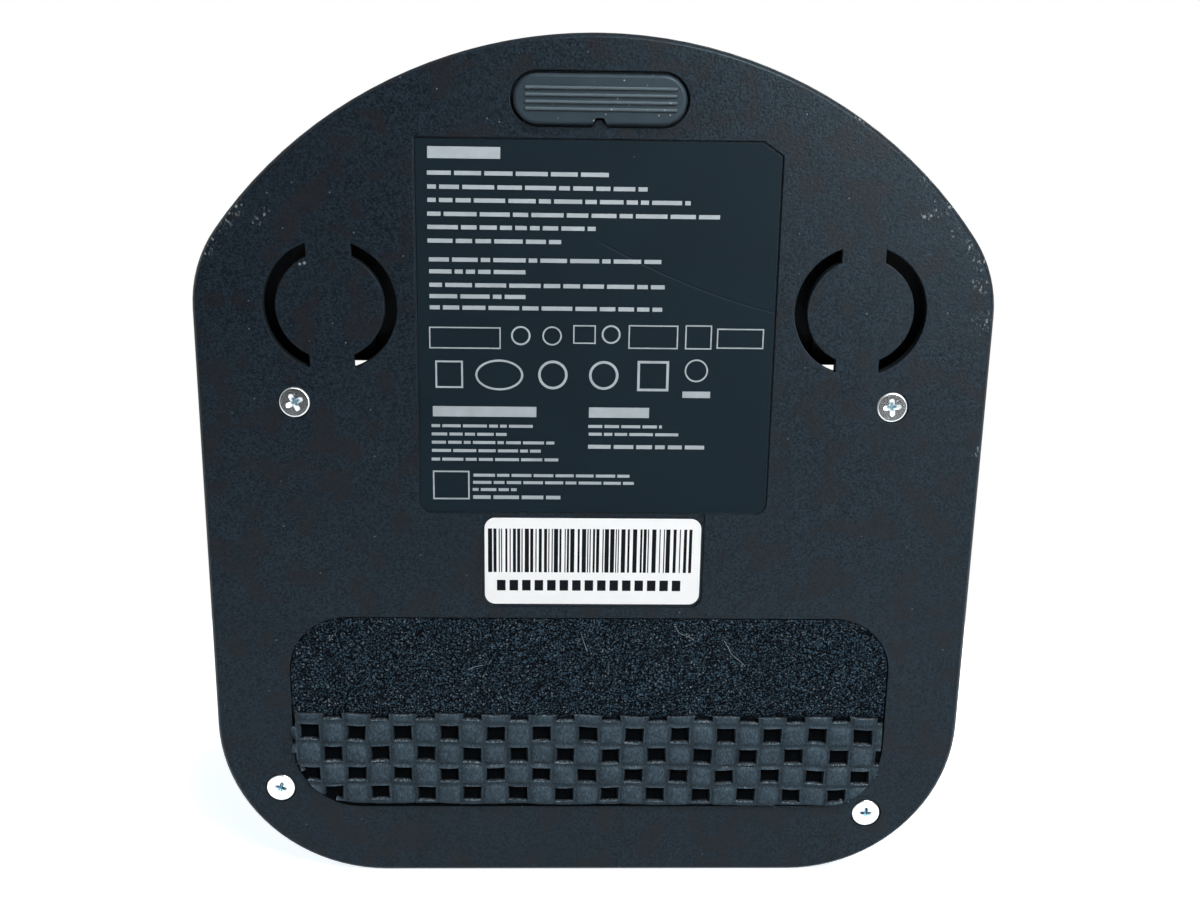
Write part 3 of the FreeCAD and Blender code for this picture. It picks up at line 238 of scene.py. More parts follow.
class Finish(Nodes):
    """One procedural finish, patterned on Object coordinates."""

    def __init__(self, name, **constants):
        self.material = bpy.data.materials.new(name)
        self.material.use_nodes = True
        super().__init__(self.material.node_tree)
        self.shader = self.add("BsdfPrincipled")
        self.add("OutputMaterial", {"Surface": self.shader.outputs["BSDF"]})
        self.place = self.add("TexCoord").outputs["Object"]
        for socket, value in constants.items():
            self.set(socket.replace("_", " "), value)

    def set(self, socket, value):
        """Write or link one of the shader's sockets, matched by its name in any case."""
        for entry in self.shader.inputs:
            if entry.name.lower() == socket.lower():
                return self.feed(entry, value)
        raise KeyError(socket)

    def along(self, axis):
        """One of the three Object coordinates."""
        return self.add("SeparateXYZ", {0: self.place}).outputs[axis]

    def noise(self, grain, detail, stretch=None, turn=0.0):
        """Soft noise whose features are about grain metres across, stretched and then turned in plan."""
        place = self.place
        if stretch:
            mapping = {"Vector": place, "Scale": stretch, "Rotation": (0.0, 0.0, turn)}
            place = self.add("Mapping", mapping).outputs[0]
        return self.add("TexNoise", {"Vector": place, "Scale": 1.0 / grain, "Detail": detail}).outputs[0]

    def specks(self, pitch, rim, core, chance, sure):
        """Round specks, pale from rim to core, in the cells of a pitch whose random value is past chance."""
        cells = self.add("TexVoronoi", {"Vector": self.place, "Scale": 1.0 / pitch}).outputs
        drawn = self.add("SeparateXYZ", {0: cells["Color"]}).outputs[0]
        return self.calc("MULTIPLY", self.span(cells["Distance"], rim, core), self.span(drawn, chance, sure))

    def spots(self, places):
        """1 at each of some places on the base plate, falling to 0 at its reach, all in millimetres."""
        value = 0.0
        for x, y, reach in places:
            middle = Vector((x, y, PLATE_HEIGHT)) * MM
            away = self.add("VectorMath", {0: self.place, 1: middle}, operation="DISTANCE").outputs["Value"]
            value = self.calc("MAXIMUM", value, self.span(away, reach * MM, 0.0))
        return value

    def facing(self, direction):
        """How far the surface faces a direction, from -1 to 1."""
        normal = self.add("NewGeometry").outputs["Normal"]
        return self.add("VectorMath", {0: normal, 1: direction}, operation="DOT_PRODUCT").outputs["Value"]

    def bump(self, height, depth, strength=1.0, under=None):
        """Relief of a height map, depth metres deep, over an earlier relief."""
        inputs = {"Strength": strength, "Distance": depth, "Height": height}
        if under:
            inputs["Normal"] = under
        return self.add("Bump", inputs).outputs[0]


def plain_finish(name, colour, roughness, metallic=0.0, grain=0.6, relief=0.02, vary=0.25, **constants):
    """Finish with an uneven tone and a fine grain. Grain and relief are in millimetres."""
    look = Finish(name, metallic=metallic, **constants)
    tone = look.noise(grain * 12 * MM, 3.0)
    fine = look.noise(grain * MM, 2.0)
    uneven = look.mix(look.span(tone, *MIDDLE), shade(colour, 1 - vary), shade(colour, 1 + vary))
    look.set("base color", uneven)
    spread = 0.06
    look.set("roughness", look.span(fine, *MIDDLE, roughness - spread, roughness + spread))
    look.set("normal", look.bump(fine, relief * MM))
    return look.material


def alone(obj=None):
    """Back to object mode with nothing selected but obj."""
    if bpy.context.object and bpy.context.object.mode != "OBJECT":
        bpy.ops.object.mode_set(mode="OBJECT")
    bpy.ops.object.select_all(action="DESELECT")
    if obj:
        obj.select_set(True)
        bpy.context.view_layer.objects.active = obj


def named(name):
    """The object that an operator has just made, under its own name."""
    obj = bpy.context.object
    obj.name = name
    obj.data.name = name
    return obj


def settle(obj):
    """Put an object's place, turn and size into its mesh."""
    alone(obj)
    bpy.ops.object.transform_apply(location=True, rotation=True, scale=True)


def apply_modifier(obj, kind, **settings):
    """Add a modifier with these settings and apply it."""
    alone(obj)
    modifier = obj.modifiers.new(kind.lower(), kind)
    for key, value in settings.items():
        setattr(modifier, key, value)
    bpy.ops.object.modifier_apply(modifier=modifier.name)


def merged_copy(node, name):
    """Copy of a CAD node with its loose triangles joined into whole faces."""
    obj = bpy.data.objects.new(name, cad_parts[node].data.copy())
    obj.data.name = name
    obj.data.materials.clear()
    bpy.context.scene.collection.objects.link(obj)
    alone(obj)
    if obj.data.has_custom_normals:
        bpy.ops.mesh.customdata_custom_splitnormals_clear()
    bpy.ops.object.mode_set(mode="EDIT")
    bpy.ops.mesh.select_all(action="SELECT")
    bpy.ops.mesh.remove_doubles(threshold=SAME_POINT)
    bpy.ops.mesh.dissolve_limited(angle_limit=math.radians(FLAT))
    bpy.ops.object.mode_set(mode="OBJECT")
    return obj


# Points of a CAD node this close are one point, and faces within this many degrees are one face
SAME_POINT = 0.001 * MM
FLAT = 0.4
# Edges sharper than this many degrees are rounded, and stay sharp in the shading
SHARP = 35.0


def soften(obj, width, segments=2):
    """Round the sharp edges of a piece."""
    limit = math.radians(SHARP)
    apply_modifier(obj, "BEVEL", width=width, segments=segments, limit_method="ANGLE", angle_limit=limit)
    smooth(obj)


def softened_copy(node, name, width, segments=2):
    """Copy of a CAD node with its sharp edges rounded."""
    obj = merged_copy(node, name)
    soften(obj, width, segments)
    return obj


def smooth(obj, angle=SHARP):
    """Smooth shading up to an angle in degrees, with the broad faces left flat."""
    alone(obj)
    bpy.ops.object.shade_smooth_by_angle(angle=math.radians(angle))
    apply_modifier(obj, "WEIGHTED_NORMAL", keep_sharp=True)


def select_where(obj, kind, wanted):
    """Enter edit mode with those faces or points selected that wanted accepts."""
    alone(obj)
    bpy.ops.object.mode_set(mode="EDIT")
    bpy.ops.mesh.select_mode(type=kind)
    bpy.ops.mesh.select_all(action="DESELECT")
    bpy.ops.object.mode_set(mode="OBJECT")
    for part in obj.data.polygons if kind == "FACE" else obj.data.vertices:
        part.select = wanted(part)
    bpy.ops.object.mode_set(mode="EDIT")


def delete_faces(obj, wanted):
    """Delete the faces that wanted accepts."""
    select_where(obj, "FACE", wanted)
    bpy.ops.mesh.delete(type="FACE")
    bpy.ops.object.mode_set(mode="OBJECT")


def face_outwards():
    """Turn all faces of the mesh that is being edited outwards, and leave edit mode."""
    bpy.ops.mesh.select_all(action="SELECT")
    bpy.ops.mesh.normals_make_consistent(inside=False)
    bpy.ops.object.mode_set(mode="OBJECT")


def round_rim(obj, width, segments):
    """Round the rim of the face that looks down."""
    select_where(obj, "FACE", lambda face: face.normal.z < -0.9)
    bpy.ops.mesh.region_to_loop()
    bpy.ops.mesh.bevel(offset=width, segments=segments, affect="EDGES")
    bpy.ops.object.mode_set(mode="OBJECT")


def extrude_up(rise):
    """Extrude what is selected upwards."""
    bpy.ops.mesh.extrude_region_move(TRANSFORM_OT_translate={"value": (0.0, 0.0, rise)})


def round_bar(name, length, width, low, high, taper=1.0, steps=48):
    """Upright block with half-round ends along x, about the origin, narrowed towards its top."""
    alone()
    bpy.ops.mesh.primitive_circle_add(
        vertices=steps,
        radius=width / 2,
        fill_type="NGON",
        location=(0.0, 0.0, low),
        rotation=(0.0, 0.0, math.pi / steps),
    )
    obj = named(name)
    settle(obj)
    for side in (-1, 1):
        select_where(obj, "VERT", lambda point: point.co.x * side > 0)
        bpy.ops.transform.translate(value=(side * (length - width) / 2, 0.0, 0.0))
    bpy.ops.mesh.select_all(action="SELECT")
    extrude_up(high - low)
    bpy.ops.transform.resize(value=(taper, taper, 1.0), center_override=(0.0, 0.0, high))
    face_outwards()
    return obj


def combine(obj, tool, operation):
    """Add a tool's shape to a piece, or cut it out, and remove the tool."""
    apply_modifier(obj, "BOOLEAN", operation=operation, object=tool, solver="EXACT")
    bpy.data.objects.remove(tool)


def copy_at(obj, name, x, y, turn=0.0):
    """Copy of a piece with its own mesh, turned and moved."""
    copy = bpy.data.objects.new(name, obj.data.copy())
    copy.data.name = name
    bpy.context.scene.collection.objects.link(copy)
    copy.location = (x, y, 0.0)
    copy.rotation_euler = (0.0, 0.0, turn)
    settle(copy)
    return copy


def present(obj, material, nodes=(), body="dock"):
    """Give a finished piece its material, slot and body, in place of the CAD nodes it stands for."""
    obj.data.materials.clear()
    obj.data.materials.append(material)
    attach(obj, body)
    if nodes:
        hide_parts(*nodes)


def dress(node, material):
    """Give a CAD node that stays a procedural material."""
    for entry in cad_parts[node].material_slots:
        entry.material = material


def join(objects, name):
    """One object made of several."""
    alone()
    for obj in objects:
        obj.select_set(True)
    bpy.context.view_layer.objects.active = objects[0]
    bpy.ops.object.join()
    return named(name)


def base_finish(plastic, face):
    """Spark-textured dark plastic with rubbed edges, nicks and dust, rougher and in painted shade above its
    lowest face.
    """
    look = Finish("base_plastic_worn_and_shaded", metallic=0.0, specular_ior_level=0.17, specular_tint=SHEEN)
    broad = look.noise(22 * MM, 2.0)
    blotch = look.noise(5.5 * MM, 1.0)
    grain = look.noise(0.4 * MM, 3.0)
    tone = look.mix(look.span(grain, 0.36, 0.64), shade(plastic.base, 0.4), opaque(plastic.base_light))
    tone = look.mix(look.span(broad, *MIDDLE, 0.1, 0.45), tone, opaque(plastic.base))
    tone = look.mix(look.span(blotch, 0.52, 0.64, 0.0, 0.6), tone, opaque(plastic.base_warm))
    # Painted shade: faces above the lowest face take the recess colour, walls fully and faces that look down
    # less
    above = look.span(look.along("Z"), face + 0.02 * MM, face + 0.12 * MM)
    upright = look.span(look.facing((0.0, 0.0, -1.0)), 0.2, 0.4, 1.0, 0.3)
    recessed = look.calc("MULTIPLY", above, upright)
    tone = look.mix(recessed, tone, opaque(plastic.recess_shade))
    rubs = look.noise(0.5 * MM, 3.0, (1.0, 0.6, 1.0), -0.6)
    rubbed = look.calc("MULTIPLY", look.spots(RUBBED_SPOTS), look.span(rubs, 0.57, 0.68))
    rubbed = look.calc("MAXIMUM", rubbed, look.spots(PALE_NICKS))
    tone = look.mix(rubbed, tone, opaque(plastic.scuff))
    dust = look.calc("MULTIPLY", look.specks(2.3 * MM, 0.08, 0.03, 0.76, 0.78), 0.5)
    look.set("base color", look.mix(dust, tone, opaque(plastic.scuff)))
    look.set("roughness", look.calc("MAXIMUM", recessed, look.span(broad, *MIDDLE, 0.34, 0.44)))
    look.set("normal", look.bump(grain, 0.06 * MM, 0.9))
    return look.material


# Height of the base plate's lower face, in millimetres
PLATE_HEIGHT = 1.4
# Places on the base plate's edges that have rubbed pale: x, y and reach in millimetres
RUBBED_SPOTS = (
    (-68.7, -55.0, 2.4),
    (-71.6, -52.0, 2.8),
    (-63.0, -53.8, 1.4),
    (-64.8, -52.1, 1.4),
    (-73.8, -48.6, 2.4),
    (-75.3, -46.3, 2.2),
    (49.1, -73.0, 1.4),
    (62.5, -61.7, 1.6),
    (62.6, -54.7, 1.3),
    (65.1, -55.8, 1.5),
    (67.5, -56.4, 1.6),
    (68.7, -51.9, 1.6),
    (71.5, -49.0, 1.8),
    (74.0, -45.8, 2.2),
    (73.4, -42.0, 1.3),
    (75.1, -41.3, 2.0),
    (76.0, -34.0, 3.0),
    (76.6, -8.0, 1.6),
)
# Small pale nicks, given in the same way
PALE_NICKS = (
    (-56.9, -44.2, 0.35),
    (-56.0, -44.4, 0.4),
    (-68.4, -55.0, 0.4),
    (-69.8, -53.7, 0.35),
    (62.5, -54.7, 0.45),
    (63.8, -54.9, 0.35),
    (67.3, -56.6, 0.4),
)


class DOCK_OT_base_plate(Operator):
    """Moulded underside plate with softened edges, its worn, textured finish and painted shade in its slots
    and recesses
    """

    bl_idname = "dock.base_plate"
    bl_label = "Base plate"

    def execute(self, context):
        plastic = context.scene.dock_plastic
        obj = softened_copy("base_cover", "base_plate", plastic.edge)
        present(obj, base_finish(plastic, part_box("base_cover")[0].z), ["base_cover"])
        return {"FINISHED"}


class DOCK_OT_top_shell(Operator):
    """Platform and tower with softened edges"""

    bl_idname = "dock.top_shell"
    bl_label = "Platform and tower"

    def execute(self, context):
        plastic = context.scene.dock_plastic
        obj = softened_copy("top_housing", "top_shell", plastic.edge)
        grained = {"grain": 0.45, "relief": 0.04, "vary": 0.15, "specular_ior_level": 0.4}
        look = plain_finish("housing_plastic_grained", plastic.housing, 0.5, **grained)
        present(obj, look, ["top_housing"])
        return {"FINISHED"}


class DOCK_OT_front_foot(Operator):
    """Rubber foot with a rounded rim, four ribs and a notch over the base's nub"""

    bl_idname = "dock.front_foot"
    bl_label = "Front foot"

    def execute(self, context):
        rubber = context.scene.dock_rubber
        low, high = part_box("front_foot")
        face = low.z + RIB_RISE
        obj = round_bar("foot_pad", high.x - low.x, high.y - low.y, face, high.z, steps=64)
        round_rim(obj, 0.7 * MM, 5)
        rib = round_bar("foot_rib", rubber.rib_length, rubber.rib_width, low.z, face + 0.3 * MM, steps=24)
        round_rim(rib, 0.34 * MM, 4)
        for index in range(RIB_COUNT):
            y = (index - (RIB_COUNT - 1) / 2) * rubber.rib_pitch - RIB_SHIFT
            combine(obj, copy_at(rib, "foot_rib_copy", RIB_SHIFT, y), "UNION")
        bpy.data.objects.remove(rib)
        alone()
        bpy.ops.mesh.primitive_cube_add(size=1.0)
        notch = named("foot_notch")
        notch.scale = NOTCH_SIZE
        settle(notch)
        select_where(notch, "VERT", lambda point: point.co.y < 0)
        bpy.ops.transform.resize(value=(NOTCH_TAPER, 1.0, 1.0), center_override=(0.0, 0.0, 0.0))
        bpy.ops.object.mode_set(mode="OBJECT")
        notch.location = (0.0, (high.y - low.y) / 2, 0.0)
        settle(notch)
        combine(obj, notch, "DIFFERENCE")
        obj.location = ((low.x + high.x) / 2, (low.y + high.y) / 2, 0.0)
        settle(obj)
        smooth(obj, 40.0)
        look = Finish("foot_rubber_dusty", metallic=0.0, specular_ior_level=0.26, specular_tint=SHEEN)
        tone = look.noise(5 * MM, 3.0)
        fine = look.noise(0.3 * MM, 2.0)
        colour = look.mix(look.span(tone, *MIDDLE), shade(rubber.foot, 0.8), opaque(rubber.foot))
        # Painted highlight and rubbed wear: the ribs' lowest faces are made paler
        worn = look.span(look.along("Z"), low.z + 0.2 * MM, low.z + 0.02 * MM, 0.0, 0.8)
        colour = look.mix(worn, colour, opaque(rubber.foot_wear_and_highlight))
        dust = look.specks(1.1 * MM, 0.16, 0.06, 0.86, 0.88)
        look.set("base color", look.mix(dust, colour, opaque(rubber.dust)))
        look.set("roughness", look.span(fine, *MIDDLE, 0.4, 0.55))
        look.set("normal", look.bump(fine, 0.02 * MM))
        present(obj, look.material, ["front_foot"])
        return {"FINISHED"}


# The foot's ribs: how many, how far they stand out and how far they are off its middle
RIB_COUNT = 4
RIB_RISE = 0.35 * MM
RIB_SHIFT = 0.15 * MM
# The notch in the foot, before its front half is narrowed to a share
NOTCH_SIZE = (3.7 * MM, 2.6 * MM, 8 * MM)
NOTCH_TAPER = 0.42


class DOCK_OT_screws(Operator):
    """Plated screws with a rounded rim and a tapered cross, modelled once for each pair"""

    bl_idname = "dock.screws"
    bl_label = "Screws"

    def screw(self, face, tip, reach):
        """Screw about the upright axis, its head's face down, with a cross of a given reach."""
        alone()
        bpy.ops.mesh.primitive_circle_add(
            vertices=64, radius=HEAD_RADIUS, fill_type="NGON", location=(0.0, 0.0, face)
        )
        obj = named("screw_pattern")
        settle(obj)
        bpy.ops.object.mode_set(mode="EDIT")
        bpy.ops.mesh.select_mode(type="FACE")
        bpy.ops.mesh.select_all(action="SELECT")
        extrude_up(HEAD_HEIGHT)
        bpy.ops.mesh.inset(thickness=HEAD_RADIUS - SHANK_RADIUS, depth=0.0)
        extrude_up(tip - face - HEAD_HEIGHT - TIP_HEIGHT)
        extrude_up(TIP_HEIGHT)
        bpy.ops.transform.resize(value=(TIP_TAPER, TIP_TAPER, 1.0), center_override=(0.0, 0.0, tip))
        face_outwards()
        round_rim(obj, 0.3 * MM, 4)
        for turn in (0.0, math.pi / 2):
            bottom = face + CROSS_DEPTH
            arm = round_bar("cross_arm", reach, ARM_WIDTH * reach, face - 0.02 * MM, bottom, ARM_TAPER, 24)
            arm.rotation_euler = (0.0, 0.0, turn)
            settle(arm)
            combine(obj, arm, "DIFFERENCE")
        smooth(obj, 32.0)
        return obj

    def plating(self, name, metal, face, deep_from, wall_rough):
        """Bright zinc, duller on the rim and the cross's walls, with painted shade, darker and bluish, below
        a depth in millimetres.
        """
        look = Finish(name, metallic=1.0)
        height = look.along("Z")
        plate = look.noise(0.5 * MM, 2.0)
        colour = look.mix(look.span(plate, *MIDDLE), shade(metal.screw, 0.88), opaque(metal.screw))
        # Painted shade: darker and bluish below a depth in the cross
        deep_shade = look.span(height, face + deep_from * MM, face + (deep_from + 0.3) * MM, 0.0, 0.9)
        look.set("base color", look.mix(deep_shade, colour, opaque(metal.cross)))
        grit = look.specks(0.5 * MM, 0.3, 0.12, 0.86, 0.9)
        walls = look.span(height, face + 0.01 * MM, face + 0.05 * MM, 0.16, wall_rough)
        look.set("roughness", look.calc("MAXIMUM", walls, look.span(grit, 0.0, 1.0, 0.16, 0.34)))
        look.set("normal", look.bump(grit, 0.006 * MM, 0.5))
        return look.material

    def execute(self, context):
        metal = context.scene.dock_metal
        for node, name, turns, reach, deep_from, wall_rough in SCREW_PAIRS:
            low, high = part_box(node)
            pattern = self.screw(low.z, high.z, reach)
            heads = []
            for corner, inset, turn in ((low, HEAD_RADIUS, turns[0]), (high, -HEAD_RADIUS, turns[1])):
                heads.append(copy_at(pattern, name, corner.x + inset, corner.y + inset, math.radians(turn)))
            bpy.data.objects.remove(pattern)
            look = self.plating(name + "_zinc", metal, low.z, deep_from, wall_rough)
            present(join(heads, name), look, [node])
        return {"FINISHED"}


# A screw: its head's radius and height, its shank's radius, and the height and narrowing of its tip
HEAD_RADIUS = 3.0 * MM
HEAD_HEIGHT = 1.2 * MM
SHANK_RADIUS = 1.5 * MM
TIP_HEIGHT = 0.8 * MM
TIP_TAPER = 0.45
# Its cross: the depth, the arms' width as a share of their reach, and how they narrow to the bottom
CROSS_DEPTH = 1.0 * MM
ARM_WIDTH = 0.28
ARM_TAPER = 0.32
# For each pair its node, name, turns of its crosses in degrees, their reach, the depth in millimetres where
# the painted bluish shade starts, and the roughness of its walls
SCREW_PAIRS = (
    ("front_screws", "front_screw_pair", (-27.0, -5.0), 3.7 * MM, 0.55, 0.62),
    ("rear_screws", "rear_screw_pair", (17.0, 2.0), 2.7 * MM, 0.1, 0.3),
)


def add_bar(x0, y0, x1, y1, z):
    """A flat bar in the mesh that is being edited, in millimetres."""
    middle = ((x0 + x1) / 2 * MM, (y0 + y1) / 2 * MM, z)
    bpy.ops.mesh.primitive_plane_add(size=1.0, location=middle)
    bpy.ops.transform.resize(value=((x1 - x0) * MM, (y1 - y0) * MM, 1.0), center_override=middle)


def add_ring(x, y, width, length, line, z):
    """A flat ring in the mesh that is being edited, in millimetres."""
    middle = (x * MM, y * MM, z)
    bpy.ops.mesh.primitive_circle_add(vertices=32, radius=0.5, fill_type="NGON", location=middle)
    bpy.ops.transform.resize(value=(width * MM, length * MM, 1.0), center_override=middle)
    bpy.ops.mesh.inset(thickness=line * MM, depth=0.0)
    bpy.ops.mesh.delete(type="FACE")


def add_frame(x0, y0, x1, y1, line, z):
    """A rectangular outline of four bars in the mesh that is being edited, in millimetres."""
    add_bar(x0, y0, x1, y0 + line, z)
    add_bar(x0, y1 - line, x1, y1, z)
    add_bar(x0, y0 + line, x0 + line, y1 - line, z)
    add_bar(x1 - line, y0 + line, x1, y1 - line, z)


def start_print(name, x0, y0, x1, y1, z):
    """Begin a printed layer: a flat mesh in edit mode with its first bar, in millimetres."""
    alone()
    bpy.ops.mesh.primitive_plane_add(size=1.0, location=((x0 + x1) / 2 * MM, (y0 + y1) / 2 * MM, z))
    obj = named(name)
    obj.scale = ((x1 - x0) * MM, (y1 - y0) * MM, 1.0)
    settle(obj)
    bpy.ops.object.mode_set(mode="EDIT")
    bpy.ops.mesh.select_mode(type="FACE")
    return obj


def end_print(obj, thickness):
    """Turn the printed layer to face down and give it the thickness of ink."""
    bpy.ops.mesh.select_all(action="SELECT")
    bpy.ops.mesh.flip_normals()
    bpy.ops.object.mode_set(mode="OBJECT")
    apply_modifier(obj, "SOLIDIFY", thickness=thickness, offset=-1.0)


# Plain bars of the label: left, right, middle and height of each row, in millimetres
LABEL_ROWS = (
    (-32.4, 1.9, -61.75, 0.8),
    (-32.4, 9.3, -59.15, 0.8),
    (-32.4, 17.6, -56.65, 0.8),
    (-32.5, 23.3, -54.05, 0.8),
    (-32.5, -0.1, -51.55, 0.8),
    (-32.5, -7.0, -48.95, 0.8),
    (-32.3, 13.1, -45.35, 0.8),
    (-32.3, -13.5, -43.05, 0.8),
    (-32.3, 13.1, -40.45, 0.8),
    (-32.3, -13.8, -38.25, 0.8),
    (-32.3, 13.5, -36.05, 0.8),
    (-32.3, -11.4, -12.35, 0.6),
    (-32.3, -17.5, -10.65, 0.6),
    (-32.3, -7.9, -8.95, 0.6),
    (-32.3, -10.7, -7.25, 0.6),
    (-32.4, -7.2, -5.45, 0.6),
    (-1.3, 13.3, -12.45, 0.6),
    (-1.2, 17.0, -10.85, 0.6),
    (-1.3, 21.9, -8.25, 0.8),
    (-24.1, 7.1, -2.15, 0.6),
    (-24.2, 8.0, -0.65, 0.6),
    (-24.3, -15.5, 0.85, 0.6),
    (-24.2, -6.7, 2.45, 0.75),
)
# Heavier solid bars of the label: left, front, right and rear
LABEL_BLOCKS = (
    (-32.3, -66.65, -18.6, -64.45),
    (-32.0, -16.35, -11.6, -14.25),
    (-1.2, -16.35, 10.7, -14.25),
    (17.2, -19.75, 22.7, -18.45),
)
# Plain outlines of the label: left, front, right, rear and line width
LABEL_FRAMES = (
    (-32.5, -32.25, -18.6, -27.95, 0.25),
    (-4.5, -32.85, -0.1, -29.15, 0.25),
    (6.3, -32.95, 16.0, -28.25, 0.25),
    (17.4, -33.05, 22.6, -28.25, 0.25),
    (23.6, -32.45, 32.8, -28.45, 0.25),
    (-31.4, -25.55, -26.0, -20.05, 0.35),
    (8.2, -25.85, 14.4, -19.75, 0.5),
    (-32.2, -3.05, -24.9, 2.95, 0.3),
)
# Shortest and longest bar of a row at a height of 0.95 mm, and the gap after a bar as a share of its height
BAR_LENGTHS = (1.8, 7.5)
BAR_GAP = 0.75
# Plain rings of the label: middle, width, length and line width
LABEL_RINGS = (
    (-14.7, -30.65, 3.8, 3.8, 0.35),
    (-8.6, -30.65, 3.8, 3.8, 0.3),
    (2.9, -31.05, 3.7, 3.7, 0.35),
    (-18.9, -22.75, 9.4, 6.2, 0.4),
    (-8.4, -22.85, 5.8, 5.8, 0.5),
    (1.6, -22.85, 5.8, 5.8, 0.5),
    (19.8, -23.95, 4.6, 4.6, 0.3),
)


class DOCK_OT_rating_label(Operator):
    """Black film label in its recess, with plain bars, outlines and rings for its print"""

    bl_idname = "dock.rating_label"
    bl_label = "Film label"

    def creased_film(self, label):
        """Satin black film, a little wavy, with one crease and some dust."""
        look = Finish("label_film_satin", metallic=0.0, specular_ior_level=0.09, specular_tint=SHEEN)
        tone = look.noise(14 * MM, 2.0)
        fine = look.noise(0.5 * MM, 2.0)
        colour = look.mix(look.span(tone, *MIDDLE), shade(label.film, 0.85), opaque(label.film))
        dust = look.calc("MULTIPLY", look.specks(3.4 * MM, 0.05, 0.02, 0.8, 0.82), 0.6)
        look.set("base color", look.mix(dust, colour, opaque(paint(120, 128, 132))))
        look.set("roughness", look.span(tone, *MIDDLE, 0.46, 0.54))
        x = look.along("X")
        bend = look.calc("MULTIPLY", look.calc("MULTIPLY", x, x), CREASE_BEND)
        line = look.calc("ADD", look.calc("MULTIPLY", x, CREASE_SLOPE), bend)
        off = look.calc("SUBTRACT", look.calc("SUBTRACT", look.along("Y"), line), CREASE_Y)
        fold = look.span(look.calc("ABSOLUTE", off), 0.3 * MM, 0.0)
        crease = look.calc("MULTIPLY", fold, look.span(x, -1 * MM, 2 * MM))
        waves = look.bump(look.noise(9 * MM, 1.0), 0.1 * MM, 0.4)
        folded = look.bump(crease, -0.06 * MM, 0.9, waves)
        look.set("normal", look.bump(fine, 0.006 * MM, 1.0, folded))
        return look.material

    def execute(self, context):
        label = context.scene.dock_label
        film = softened_copy("rating_label", "label_film_sheet", 0.06 * MM)
        present(film, self.creased_film(label), ["rating_label"])

        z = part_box("rating_label")[0].z - 0.01 * MM
        draw = random.Random(label.seed)
        ink = start_print("label_marks", *LABEL_BLOCKS[0], z)
        for left, right, middle, height in LABEL_ROWS:
            x = left
            while x < right - 0.5:
                end = min(right, x + draw.uniform(*BAR_LENGTHS) * height / 0.95)
                add_bar(x, middle - height / 2, end, middle + height / 2, z)
                x = end + BAR_GAP * height
        for box in LABEL_BLOCKS[1:]:
            add_bar(*box, z)
        for left, front, right, rear, line in LABEL_FRAMES:
            add_frame(left, front, right, rear, line, z)
        for x, y, width, length, line in LABEL_RINGS:
            add_ring(x, y, width, length, line, z)
        end_print(ink, INK)
        pale = plain_finish("label_ink_pale", label.ink, 0.5, grain=0.3, relief=0.005, vary=0.1)
        present(ink, pale)
        return {"FINISHED"}


# Thickness of printed ink
INK = 0.02 * MM
# The crease in the film: where it crosses the middle, its slope there, and how it bends with x squared
CREASE_Y = -49.35 * MM
CREASE_SLOPE = 0.55
CREASE_BEND = -4.5


class DOCK_OT_serial_sticker(Operator):
    """White paper sticker with plain upright bars and a row of dashes"""

    bl_idname = "dock.serial_sticker"
    bl_label = "Sticker"

    def execute(self, context):
        label = context.scene.dock_label
        sheet = softened_copy("serial_label", "sticker_sheet", 0.04 * MM)
        paper = plain_finish("sticker_paper_coated", label.paper, 0.45, grain=0.4, relief=0.006, vary=0.02)
        present(sheet, paper, ["serial_label"])

        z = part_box("serial_label")[0].z - 0.01 * MM
        draw = random.Random(label.seed + 1)
        left, front, right, rear = FIRST_DASH
        dashes = []
        for index in range(DASH_COUNT):
            dashes.append((left + index * DASH_PITCH, front, right + index * DASH_PITCH, rear))
        ink = start_print("sticker_marks", *dashes[0], z)
        x, front, right, rear = BARS_BOX
        while x < LAST_BAR:
            width = draw.choice(BAR_WIDTHS)
            add_bar(x, front, min(x + width, right), rear, z)
            x += width + draw.choice(BAR_GAPS)
        for box in dashes[1:]:
            add_bar(*box, z)
        end_print(ink, INK)
        matt = {"grain": 0.3, "relief": 0.004, "vary": 0.12, "specular_ior_level": 0.08}
        present(ink, plain_finish("sticker_ink_dark", label.bars, 0.5, **matt))
        return {"FINISHED"}


# The sticker's upright bars, in millimetres: the box they fill, where the last may start, widths and gaps
BARS_BOX = (-21.3, 9.15, 20.6, 18.55)
LAST_BAR = 20.3
BAR_WIDTHS = (0.22, 0.22, 0.42, 0.62, 0.85)
BAR_GAPS = (0.25, 0.25, 0.45, 0.65)
# The row of dashes under them: the first, their pitch and how many
FIRST_DASH = (-19.5, 20.25, -17.75, 22.55)
DASH_PITCH = 2.56
DASH_COUNT = 15


def rounded_reach(x, y, low, high, radii):
    """Point brought into a rounded rectangle, with radii front left, front right, rear left, rear right."""
    x = min(max(x, low[0]), high[0])
    y = min(max(y, low[1]), high[1])
    front, left = y < (low[1] + high[1]) / 2, x < (low[0] + high[0]) / 2
    radius = radii[(0 if front else 2) + (0 if left else 1)]
    side_x = low[0] + radius - x if left else x - high[0] + radius
    side_y = low[1] + radius - y if front else y - high[1] + radius
    away = math.hypot(side_x, side_y)
    if side_x > 0 and side_y > 0 and away > radius:
        spare = 1 - radius / away
        x += side_x * spare if left else -side_x * spare
        y += side_y * spare if front else -side_y * spare
    return x, y


def tidy_grid(obj, lowest_area):
    """Drop the faces that were pressed flat at a corner, join their points and face the sheet down."""
    delete_faces(obj, lambda face: face.area < lowest_area)
    bpy.ops.object.mode_set(mode="EDIT")
    bpy.ops.mesh.select_all(action="SELECT")
    bpy.ops.mesh.remove_doubles(threshold=0.02 * MM)
    face_outwards()
    if sum(face.normal.z for face in obj.data.polygons) > 0:
        bpy.ops.object.mode_set(mode="EDIT")
        bpy.ops.mesh.select_all(action="SELECT")
        bpy.ops.mesh.flip_normals()
        bpy.ops.object.mode_set(mode="OBJECT")


